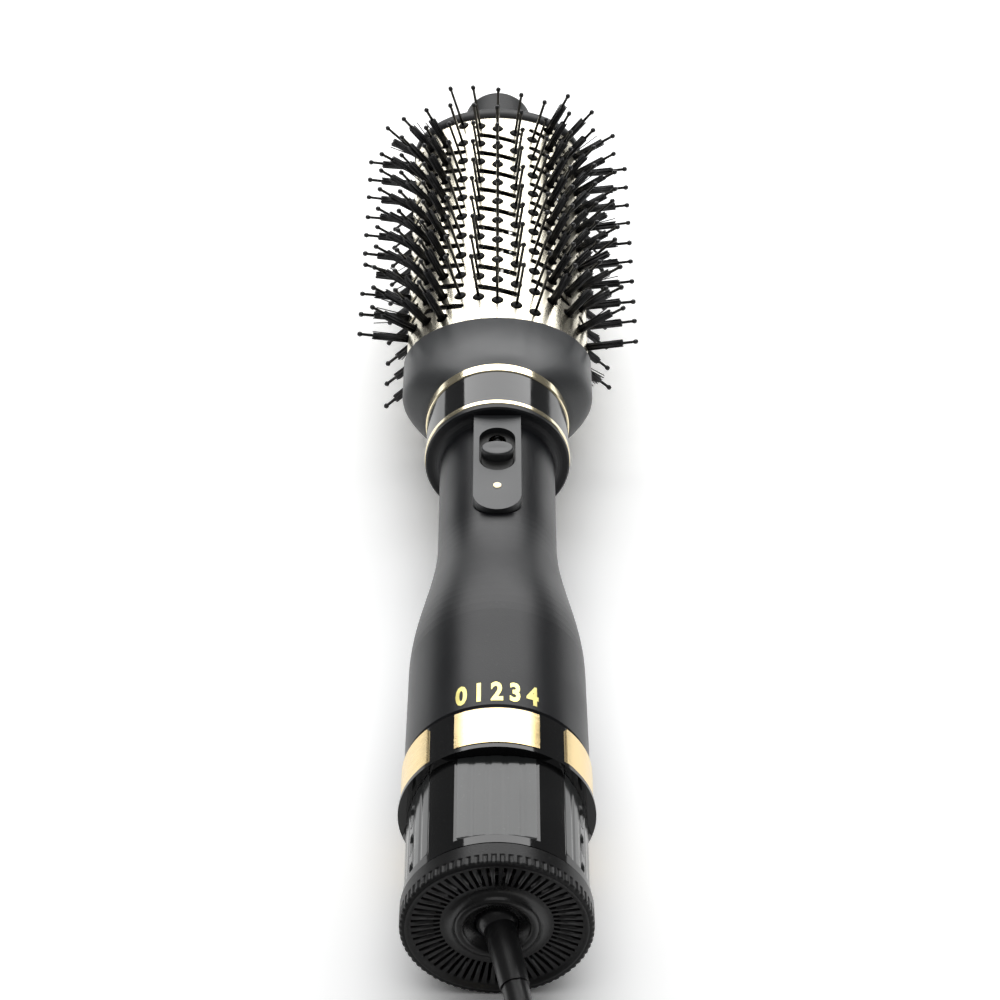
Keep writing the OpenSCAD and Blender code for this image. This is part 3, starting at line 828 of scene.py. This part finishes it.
def build_sled():
    """The release slider's flat sled, with its leg and the long rod."""
    sled = []
    for grow, out in ((0, SLED_UNDER), (0, SLED_TOP - SLED_EDGE), (-SLED_EDGE, SLED_TOP)):
        loop = pill_outline(SLED_HALF + grow, RELEASE_FROM - grow, SLED_LEN + 2 * grow)
        sled.append(standing(loop, out))
    foot = ((-LEG_HALF, LEG_FROM), (LEG_HALF, LEG_FROM), (LEG_HALF, LEG_TO), (-LEG_HALF, LEG_TO))
    leg = [standing(foot, out) for out in (LEG_UNDER, SLED_UNDER + 0.1)]
    turns = [math.pi * k / 12 for k in range(24)]
    rod = []
    for z in (ROD_FROM, ROD_TO):
        rod.append([laid(ROD_R * math.cos(a), ROD_R * math.sin(a) - ROD_OUT, z) for a in turns])
    return joined("release_sled", [loft(sled), loft(leg), loft(rod)], 30)


def build_button():
    """The raised oval button on the sled, with a shallow dish for the thumb."""
    turns = [math.pi * k / 24 for k in range(48)]
    rings = []
    for grow, out in ((0, 18.4), (0, 20.9), (-0.12, 21.35), (-0.45, 21.62), (-0.9, 21.68), (-2.6, 21.4)):
        wide, deep = BUTTON_A + grow, BUTTON_B + grow
        rings.append([laid(wide * math.cos(a), -out, BUTTON_AT + deep * math.sin(a)) for a in turns])
    return finished("release_button", *loft(rings), 30)


def build_seal():
    """A thin seal under the plate's slot, open along its middle for the slider's leg."""
    outline = pill_outline(5.35, 162.35, 20.3)
    slit = pill_outline(2.6, 165.0, 16.4)
    rings = [standing(outline, SEAL_UNDER), standing(outline, SEAL_TOP)]
    rings += [standing(slit, SEAL_TOP), standing(slit, SEAL_UNDER)]
    return ring_shaped("slot_dust_seal", rings, 30)


# -------------------- shader groups
SURFACE = (("Colour", "Color"), ("Roughness", "Float"), ("Height", "Float"))


def open_group(name, inputs, outputs):
    """A shader group with its named sockets, and the sockets of its two ends."""
    tree = bpy.data.node_groups.new(name, "ShaderNodeTree")
    for label, kind, value in inputs:
        socket = tree.interface.new_socket(name=label, in_out="INPUT", socket_type="NodeSocket" + kind)
        socket.default_value = value
    for label, kind in outputs:
        tree.interface.new_socket(name=label, in_out="OUTPUT", socket_type="NodeSocket" + kind)
    return tree, tree.nodes.new("NodeGroupInput").outputs, tree.nodes.new("NodeGroupOutput").inputs


def noise(tree, at, scale, detail, rough=0.5):
    node = tree.nodes.new("ShaderNodeTexNoise")
    node.inputs["Detail"].default_value = detail
    node.inputs["Roughness"].default_value = rough
    tree.links.new(at, node.inputs["Vector"])
    if isinstance(scale, (int, float)):
        node.inputs["Scale"].default_value = scale
    else:
        tree.links.new(scale, node.inputs["Scale"])
    return node.outputs["Fac"]


def spread_to(tree, value, low, high, to_low, to_high):
    node = tree.nodes.new("ShaderNodeMapRange")
    for label, v in (("From Min", low), ("From Max", high)):
        node.inputs[label].default_value = v
    for label, v in (("To Min", to_low), ("To Max", to_high)):
        if isinstance(v, (int, float)):
            node.inputs[label].default_value = v
        else:
            tree.links.new(v, node.inputs[label])
    tree.links.new(value, node.inputs["Value"])
    return node.outputs["Result"]


def mixed(tree, fac, a, b):
    node = tree.nodes.new("ShaderNodeMix")
    node.data_type = "RGBA"
    tree.links.new(fac, node.inputs[0])
    for i, v in ((6, a), (7, b)):
        if isinstance(v, (tuple, list)):
            node.inputs[i].default_value = (*v[:3], 1)
        else:
            tree.links.new(v, node.inputs[i])
    return node.outputs[2]


def object_coordinates(tree):
    return tree.nodes.new("ShaderNodeTexCoord").outputs["Object"]


def make_moulded():
    """A moulded surface: fine grain in height, soft blotches in shade, and faint dust."""
    inputs = (
        ("Colour", "Color", (0.5, 0.5, 0.5, 1)),
        ("Second Colour", "Color", (0.6, 0.6, 0.6, 1)),
        ("Roughness", "Float", 0.5),
        ("Roughness Change", "Float", 0.1),
        ("Grain Size", "Float", 2500.0),
        ("Dust", "Float", 0.1),
    )
    tree, given, out = open_group("moulded_surface", inputs, SURFACE)
    at = object_coordinates(tree)
    blotch = noise(tree, at, 45, 3)
    grain = noise(tree, at, given["Grain Size"], 2)
    specks = noise(tree, at, 900, 4, 0.65)
    base = mixed(tree, spread_to(tree, blotch, 0.3, 0.7, 0, 1), given["Colour"], given["Second Colour"])
    dusty = maths(tree, "MULTIPLY", spread_to(tree, specks, 0.62, 0.74, 0, 1), given["Dust"])
    tree.links.new(mixed(tree, dusty, base, (0.42, 0.41, 0.39)), out["Colour"])
    swing = spread_to(tree, blotch, 0.3, 0.7, -1, 1)
    change = maths(tree, "MULTIPLY", swing, given["Roughness Change"])
    rough = maths(tree, "ADD", given["Roughness"], change)
    rough = maths(tree, "ADD", rough, maths(tree, "MULTIPLY", dusty, 0.3))
    tree.links.new(rough, out["Roughness"])
    tree.links.new(grain, out["Height"])
    return tree


def make_brushed():
    """A brushed or polished metal: long fine scratches along one way, and soft smears."""
    inputs = (
        ("Colour", "Color", (0.8, 0.8, 0.8, 1)),
        ("Second Colour", "Color", (0.7, 0.7, 0.7, 1)),
        ("Roughness", "Float", 0.2),
        ("Roughness Change", "Float", 0.1),
        ("Stretch", "Vector", (1.0, 1.0, 1.0)),
    )
    tree, given, out = open_group("brushed_metal", inputs, SURFACE)
    at = object_coordinates(tree)
    stretch = tree.nodes.new("ShaderNodeVectorMath")
    stretch.operation = "MULTIPLY"
    tree.links.new(at, stretch.inputs[0])
    tree.links.new(given["Stretch"], stretch.inputs[1])
    scratch = noise(tree, stretch.outputs[0], 1, 4, 0.6)
    smear = noise(tree, at, 70, 3)
    shade = spread_to(tree, smear, 0.3, 0.7, 0, 1)
    tree.links.new(mixed(tree, shade, given["Colour"], given["Second Colour"]), out["Colour"])
    swings = [spread_to(tree, fine, 0.3, 0.7, -0.5, 0.5) for fine in (scratch, smear)]
    change = maths(tree, "MULTIPLY", maths(tree, "ADD", *swings), given["Roughness Change"])
    tree.links.new(maths(tree, "ADD", given["Roughness"], change), out["Roughness"])
    tree.links.new(scratch, out["Height"])
    return tree


def make_fingerprints():
    """Smudges on gloss: a mask of soft patches with fine ridges in them."""
    inputs = (("Size", "Float", 60.0), ("Amount", "Float", 0.1))
    tree, given, out = open_group("handling_smudges", inputs, (("Mask", "Float"),))
    at = object_coordinates(tree)
    patch = spread_to(tree, noise(tree, at, given["Size"], 2), 0.5, 0.68, 0, 1)
    ridge = spread_to(tree, noise(tree, at, 1800, 2), 0.4, 0.6, 0.5, 1)
    both = maths(tree, "MULTIPLY", patch, ridge)
    tree.links.new(maths(tree, "MULTIPLY", both, given["Amount"]), out["Mask"])
    return tree


moulded_surface = make_moulded()
brushed_metal = make_brushed()
handling_smudges = make_fingerprints()


# -------------------- materials
def new_material(name):
    material = bpy.data.materials.new(name)
    material.use_nodes = True
    return material, material.node_tree, material.node_tree.nodes["Principled BSDF"]


def placed(tree, group, values):
    """A shader group in a material, with its own values."""
    node = tree.nodes.new("ShaderNodeGroup")
    node.node_tree = group
    for label, value in values.items():
        node.inputs[label].default_value = (*value, 1) if label.endswith("Colour") else value
    return node


def bump_from(tree, height, distance, shader):
    node = tree.nodes.new("ShaderNodeBump")
    node.inputs["Strength"].default_value = 1.0
    node.inputs["Distance"].default_value = distance
    tree.links.new(height, node.inputs["Height"])
    tree.links.new(node.outputs["Normal"], shader.inputs["Normal"])


def dressed(name, group, values, depth, smudge=0.0):
    """A material whose colour, roughness and fine height come from a shader group."""
    material, tree, shader = new_material(name)
    node = placed(tree, group, values)
    rough = node.outputs["Roughness"]
    if smudge:
        marks = placed(tree, handling_smudges, {"Size": 55.0, "Amount": smudge})
        rough = maths(tree, "ADD", rough, marks.outputs["Mask"])
    tree.links.new(node.outputs["Colour"], shader.inputs["Base Color"])
    tree.links.new(rough, shader.inputs["Roughness"])
    bump_from(tree, node.outputs["Height"], depth, shader)
    return material, shader


def moulded(colour, second, rough, change, grain, dust):
    return {
        "Colour": colour,
        "Second Colour": second,
        "Roughness": rough,
        "Roughness Change": change,
        "Grain Size": grain,
        "Dust": dust,
    }


def moulding(
    name, colour, second, rough, change=0.05, grain=1800.0, depth=0.00003, dust=0.04,
    spec=0.5, coat=0.0, coat_rough=0.04,
):
    """Moulded plastic, rubber or a painted coating."""
    values = moulded(colour, second, rough, change, grain, dust)
    material, shader = dressed(name, moulded_surface, values, depth)
    shader.inputs["Specular IOR Level"].default_value = spec
    shader.inputs["Coat Weight"].default_value = coat
    shader.inputs["Coat Roughness"].default_value = coat_rough
    return material


def gloss(name, colour, rough, smudge):
    """Glossy black moulding with faint handling marks."""
    second = tuple(1.35 * c for c in colour)
    values = moulded(colour, second, rough, change=0.02, grain=400.0, dust=0.035)
    return dressed(name, moulded_surface, values, 0.000006, smudge)[0]


def metal(name, colour, second, rough, stretch, change=0.1, depth=0.00001):
    """Plated, brushed or polished metal."""
    values = {
        "Colour": colour,
        "Second Colour": second,
        "Roughness": rough,
        "Roughness Change": change,
        "Stretch": stretch,
    }
    material, shader = dressed(name, brushed_metal, values, depth)
    shader.inputs["Metallic"].default_value = 1.0
    return material


def lens_material():
    """A warm clear lens with a soft core."""
    material, tree, shader = new_material("warm_lens")
    values = moulded((0.95, 0.80, 0.45), (1.0, 0.90, 0.62), rough=0.12, change=0.04, grain=1500.0, dust=0.02)
    node = placed(tree, moulded_surface, values)
    tree.links.new(node.outputs["Colour"], shader.inputs["Base Color"])
    tree.links.new(node.outputs["Roughness"], shader.inputs["Roughness"])
    tree.links.new(node.outputs["Colour"], shader.inputs["Emission Color"])
    shader.inputs["Emission Strength"].default_value = 0.35
    shader.inputs["Coat Weight"].default_value = 0.6
    return material


def circuit_material():
    """Green solder mask with paler copper tracks under it."""
    material, tree, shader = new_material("solder_mask")
    at = object_coordinates(tree)
    brick = tree.nodes.new("ShaderNodeTexBrick")
    for label, value in (
        ("Scale", 220),
        ("Mortar Size", 0.08),
        ("Color1", (0.012, 0.095, 0.035, 1)),
        ("Color2", (0.016, 0.12, 0.045, 1)),
        ("Mortar", (0.05, 0.24, 0.10, 1)),
    ):
        brick.inputs[label].default_value = value
    tree.links.new(at, brick.inputs["Vector"])
    tree.links.new(brick.outputs["Color"], shader.inputs["Base Color"])
    rough = spread_to(tree, noise(tree, at, 300, 3), 0.3, 0.7, 0.2, 0.35)
    tree.links.new(rough, shader.inputs["Roughness"])
    bump_from(tree, brick.outputs["Fac"], 0.00003, shader)
    return material


# colours are linear
soft_touch = moulding(
    "soft_touch_charcoal", (0.009, 0.0095, 0.0112), (0.0115, 0.012, 0.0138),
    rough=0.36, change=0.04, grain=3200.0, dust=0.03, spec=0.25,
)
soft_touch_under = moulding(
    "soft_touch_charcoal_under", (0.009, 0.0095, 0.0110), (0.0115, 0.012, 0.0135),
    rough=0.38, change=0.04, grain=3200.0, spec=0.25,
)
piano_black = gloss("piano_black", (0.0055, 0.0058, 0.0062), rough=0.07, smudge=0.14)
dial_black = gloss("dial_gloss_black", (0.005, 0.0052, 0.0055), rough=0.09, smudge=0.08)
pad_black = gloss("grip_pad_black", (0.026, 0.028, 0.028), rough=0.15, smudge=0.06)
cap_black = moulding(
    "rear_cap_black", (0.018, 0.018, 0.0185), (0.023, 0.023, 0.0235),
    rough=0.34, change=0.08, grain=2200.0,
)
collar_grey = moulding(
    "collar_grey", (0.037, 0.039, 0.041), (0.044, 0.046, 0.048),
    rough=0.45, grain=2600.0, depth=0.00005, dust=0.05,
)
cap_grey = moulding(
    "end_cap_grey", (0.013, 0.0135, 0.014), (0.017, 0.0175, 0.018),
    rough=0.46, grain=2600.0, depth=0.00005, dust=0.05, spec=0.3,
)
tip_grey = moulding(
    "cool_tip_grey", (0.012, 0.0125, 0.013), (0.016, 0.0165, 0.017),
    rough=0.46, grain=2400.0, depth=0.00005, dust=0.06, spec=0.2,
)
plate_grey = moulding(
    "switch_plate_grey", (0.029, 0.031, 0.033), (0.035, 0.037, 0.039),
    rough=0.40, grain=2600.0,
)
# The cap's rim band: black moulding made darker than the cap's face; the added darkness is painted shade.
rim_black_with_painted_shade = moulding(
    "cap_rim_black_with_painted_shade", (0.009, 0.009, 0.0095), (0.012, 0.012, 0.0125),
    rough=0.32, grain=2600.0, spec=0.2,
)
seal_black = moulding(
    "seal_rubber", (0.006, 0.006, 0.006), (0.009, 0.009, 0.009),
    rough=0.6,
)
root_black = moulding(
    "root_nylon", (0.004, 0.004, 0.004), (0.006, 0.006, 0.006),
    rough=0.6, change=0.06, depth=0.00002, dust=0.0, spec=0.15,
)
pin_black = moulding(
    "pin_nylon", (0.012, 0.012, 0.013), (0.018, 0.018, 0.019),
    rough=0.30, change=0.06, depth=0.00002, dust=0.03,
)
tuft_black = moulding(
    "filament_nylon", (0.008, 0.008, 0.009), (0.014, 0.014, 0.015),
    rough=0.38, change=0.08, grain=3000.0, depth=0.00002, dust=0.03,
)
strip_black = moulding(
    "strip_nylon", (0.008, 0.008, 0.009), (0.012, 0.012, 0.013),
    rough=0.5, dust=0.05,
)
champagne = metal(
    "champagne_plate", (0.76, 0.71, 0.57), (0.82, 0.78, 0.66),
    rough=0.27, stretch=(500.0, 30.0, 500.0), depth=0.000012,
)
trim_gold = metal(
    "trim_gold", (0.84, 0.74, 0.50), (0.89, 0.80, 0.58),
    rough=0.16, change=0.05, stretch=(60.0, 900.0, 60.0), depth=0.000006,
)
inlay_gold = metal(
    "inlay_gold", (0.83, 0.63, 0.31), (0.88, 0.70, 0.39),
    rough=0.26, change=0.08, stretch=(90.0, 1400.0, 90.0),
)
number_gold = metal(
    "number_gold", (0.66, 0.58, 0.18), (0.74, 0.66, 0.26),
    rough=0.34, change=0.08, stretch=(700.0, 700.0, 700.0), depth=0.000008,
)
sheath = moulding(
    "cord_sheath", (0.012, 0.012, 0.013), (0.018, 0.018, 0.019),
    rough=0.34, change=0.06, grain=1600.0, dust=0.08, coat=0.15, coat_rough=0.25,
)
plug_black = moulding(
    "plug_black", (0.014, 0.014, 0.015), (0.020, 0.020, 0.021),
    rough=0.42, change=0.06, grain=1500.0, depth=0.00006, dust=0.08,
)
blade_metal = metal(
    "blade_metal", (0.78, 0.70, 0.50), (0.84, 0.77, 0.58),
    rough=0.28, stretch=(60.0, 900.0, 900.0),
)
dark_steel = metal(
    "phosphated_steel", (0.05, 0.05, 0.052), (0.08, 0.08, 0.082),
    rough=0.42, stretch=(900.0, 900.0, 900.0),
)
steel = metal(
    "plated_steel", (0.56, 0.56, 0.57), (0.64, 0.64, 0.65),
    rough=0.32, stretch=(900.0, 60.0, 900.0),
)
bright_steel = metal(
    "bright_steel", (0.62, 0.62, 0.63), (0.70, 0.70, 0.71),
    rough=0.18, change=0.06, stretch=(1500.0, 80.0, 1500.0), depth=0.000005,
)
mesh_steel = metal(
    "filter_mesh", (0.36, 0.36, 0.37), (0.5, 0.5, 0.51),
    rough=0.42, stretch=(4000.0, 4000.0, 4000.0), depth=0.00008,
)
nichrome = metal(
    "nichrome", (0.30, 0.26, 0.20), (0.42, 0.33, 0.22),
    rough=0.4, change=0.12, stretch=(1500.0, 1500.0, 1500.0), depth=0.00002,
)
fuse_plate = metal(
    "fuse_plate", (0.72, 0.56, 0.20), (0.80, 0.66, 0.30),
    rough=0.3, change=0.08, stretch=(60.0, 60.0, 900.0),
)
housing_nylon = moulding(
    "housing_nylon", (0.030, 0.031, 0.034), (0.038, 0.039, 0.042),
    rough=0.55, change=0.06, depth=0.00005, dust=0.08,
)
white_nylon = moulding(
    "natural_nylon", (0.66, 0.64, 0.57), (0.74, 0.72, 0.66),
    rough=0.45, change=0.06, grain=1500.0, depth=0.00004,
)
mica = moulding(
    "mica_board", (0.50, 0.40, 0.25), (0.62, 0.53, 0.37),
    rough=0.35, change=0.10, grain=700.0, depth=0.0001, coat=0.2,
)
ceramic = moulding(
    "white_ceramic", (0.64, 0.64, 0.61), (0.72, 0.72, 0.70),
    rough=0.3, change=0.06, grain=1200.0, dust=0.03,
)
switch_body = moulding(
    "switch_body_grey", (0.09, 0.095, 0.10), (0.12, 0.125, 0.13),
    rough=0.5, change=0.06, grain=2000.0, depth=0.00004, dust=0.05,
)
potting = moulding(
    "potted_black", (0.014, 0.015, 0.017), (0.022, 0.023, 0.025),
    rough=0.35, change=0.12, grain=600.0, depth=0.00012, dust=0.05,
)

for finish, names in (
    (cap_black, "rear_cap"),
    (mesh_steel, "intake_filter"),
    (housing_nylon, "swivel_retainer motor_housing motor_mount neck_core head_spigot"),
    (steel, "motor detent_spring shell_screws"),
    (bright_steel, "rotor_shaft detent_ball"),
    (white_nylon, "fan_impeller"),
    (dial_black, "selector_dial"),
    (inlay_gold, "dial_inlays"),
    (switch_body, "selector_switch"),
    (soft_touch, "handle_top_shell"),
    (soft_touch_under, "handle_bottom_shell"),
    (circuit_material(), "circuit_board"),
    (potting, "ion_generator"),
    (mica, "heater_sleeve heater_frame"),
    (nichrome, "heater_coil"),
    (ceramic, "thermostat"),
    (fuse_plate, "thermal_fuse"),
    (plate_grey, "switch_plate release_slider"),
    (lens_material(), "indicator_lens"),
    (dark_steel, "release_spring"),
    (trim_gold, "lower_trim_ring upper_trim_ring"),
    (piano_black, "neck_band"),
    (collar_grey, "head_collar"),
    (strip_black, "strip_frame"),
    (cap_grey, "end_cap"),
    (tip_grey, "cool_tip"),
    (sheath, "strain_relief cord_tube cord_coil cord_tail"),
    (plug_black, "plug_body"),
    (blade_metal, "plug_blades"),
    (champagne, "barrel_sleeve"),
    (pin_black, "bristle_strips"),
):
    for node_name in names.split():
        nodes[node_name].data.materials.clear()
        nodes[node_name].data.materials.append(finish)


# -------------------- pieces that stand for a CAD node
def stands_for(piece, node, material):
    """Rides and is finished as the CAD node does, and hides it."""
    piece.data.materials.append(material)
    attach(piece, nodes[node]["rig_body"])
    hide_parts(node)


def rides_on(piece, body, material):
    """Rides on a body with the finish it is given, and hides no CAD node."""
    piece.data.materials.append(material)
    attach(piece, body)


stands_for(build_cap_face(), "rear_cap", cap_black)
# The rim band takes the darker black, which carries painted shade.
rides_on(build_cap_rim(), "handle", rim_black_with_painted_shade)
rides_on(build_pads(), "selector", pad_black)
stands_for(build_sled(), "release_slider", seal_black)
rides_on(build_button(), "release", plate_grey)
rides_on(build_seal(), "handle", seal_black)
spring = from_bmesh("release_spring_wire", merged_copy("release_spring"), 60)
stands_for(spring, "release_spring", dark_steel)
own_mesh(spring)
for faceted, finish in (("head_collar", collar_grey), ("end_cap", cap_grey)):
    stands_for(from_bmesh(faceted + "_moulded", merged_copy(faceted)), faceted, finish)

# -------------------- the brush head's fine pieces
stands_for(sleeve, "barrel_sleeve", champagne)
pins, tufts, bosses = build_bristles(pin_black, tuft_black, root_black)
strips = build_strips()
strips.data.materials.append(strip_black)
for piece in (pins, tufts, bosses, strips):
    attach(piece, "head")
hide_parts("bristle_strips")

# -------------------- cord
cord.data.materials.append(sheath)
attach(cord, "handle")
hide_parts("cord_tube", "cord_coil", "cord_tail")


# -------------------- numbers on the handle
def grip_face(z):
    """Radius of the print on the grip, which narrows a little towards the waist."""
    return GRIP_R + GRIP_SWELL * (GRIP_TO - z) / GRIP_LEN


def build_numbers():
    """Plain numbers 0 to 4 ahead of the dial, printed round the grip."""
    made = bmesh.new()
    for value in range(5):
        letters = bpy.data.curves.new(f"number_{value}", "FONT")
        letters.body = str(value)
        letters.size = NUMBER_SIZE
        letters.offset = NUMBER_STROKE
        letters.align_x, letters.align_y = "CENTER", "CENTER"
        letters.extrude = 0.03
        letters.resolution_u = 3
        holder = new_object(f"number_{value}", letters)
        graph = bpy.context.evaluated_depsgraph_get()
        mesh = bpy.data.meshes.new_from_object(holder.evaluated_get(graph), depsgraph=graph)
        bpy.data.objects.remove(holder)
        part = bmesh.new()
        part.from_mesh(mesh)
        longest = [e for e in part.edges if e.calc_length() > 0.5]
        bmesh.ops.subdivide_edges(part, edges=longest, cuts=2)
        for v in part.verts:
            z = NUMBERS_AT + v.co.y * NUMBER_TALL
            r = grip_face(z) + v.co.z
            angle = (v.co.x * NUMBER_NARROW + (value - 2) * NUMBER_STEP) / r
            v.co = laid(r * math.sin(angle), -r * math.cos(angle), z)
        part.to_mesh(mesh)
        part.free()
        made.from_mesh(mesh)
    bmesh.ops.remove_doubles(made, verts=made.verts, dist=1e-7)
    bmesh.ops.recalc_face_normals(made, faces=made.faces)
    return from_bmesh("setting_numbers", made, 30)


numbers = build_numbers()
numbers.data.materials.append(number_gold)
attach(numbers, "handle")


# -------------------- floor and light
def build_floor():
    """A wide pale sheet under the brush."""
    half = 6
    points = [(-half, -half, 0), (half, -half, 0), (half, half, 0), (-half, half, 0)]
    floor = new_object("pale_floor", mesh_of("pale_floor", points, [(0, 1, 2, 3)], False))
    material, tree, shader = new_material("pale_sheet")
    light = tree.nodes.new("ShaderNodeLightPath")
    seen = maths(tree, "MAXIMUM", light.outputs["Is Camera Ray"], light.outputs["Is Glossy Ray"])
    seen = maths(tree, "MAXIMUM", seen, light.outputs["Is Transmission Ray"])
    shade = spread_to(tree, noise(tree, object_coordinates(tree), 6, 2), 0.3, 0.7, 0.0, 1.0)
    plain = mixed(tree, shade, (0.74, 0.74, 0.74), (0.76, 0.76, 0.76))
    bright = mixed(tree, shade, (1.26, 1.265, 1.265), (1.28, 1.285, 1.285))
    tree.links.new(mixed(tree, seen, plain, bright), shader.inputs["Base Color"])
    shader.inputs["Roughness"].default_value = 1.0
    shader.inputs["Specular IOR Level"].default_value = 0.0
    floor.data.materials.append(material)


def area_light(name, place, aim, size, size_y, power):
    data = bpy.data.lights.new(name, "AREA")
    data.shape = "RECTANGLE"
    data.size, data.size_y, data.energy = size, size_y, power
    lamp = bpy.data.objects.new(name, data)
    bpy.context.scene.collection.objects.link(lamp)
    lamp.location = place
    lamp.rotation_mode = "QUATERNION"
    lamp.rotation_quaternion = (Vector(aim) - Vector(place)).to_track_quat("-Z", "Y")


build_floor()
area_light("front_box", (0.0, 0.93, 0.86), (0, -0.02, 0.03), 1.5, 1.0, 20)
area_light("overhead_box", (0.0, -0.2, 1.7), (0, -0.1, 0.02), 1.4, 1.4, 8)

world = bpy.data.worlds.new("studio")
bpy.context.scene.world = world
world.use_nodes = True
backdrop = world.node_tree.nodes["Background"]
backdrop.inputs["Color"].default_value = (1, 1, 1, 1)
backdrop.inputs["Strength"].default_value = 0.15
bpy.context.scene.view_settings.view_transform = "Standard"
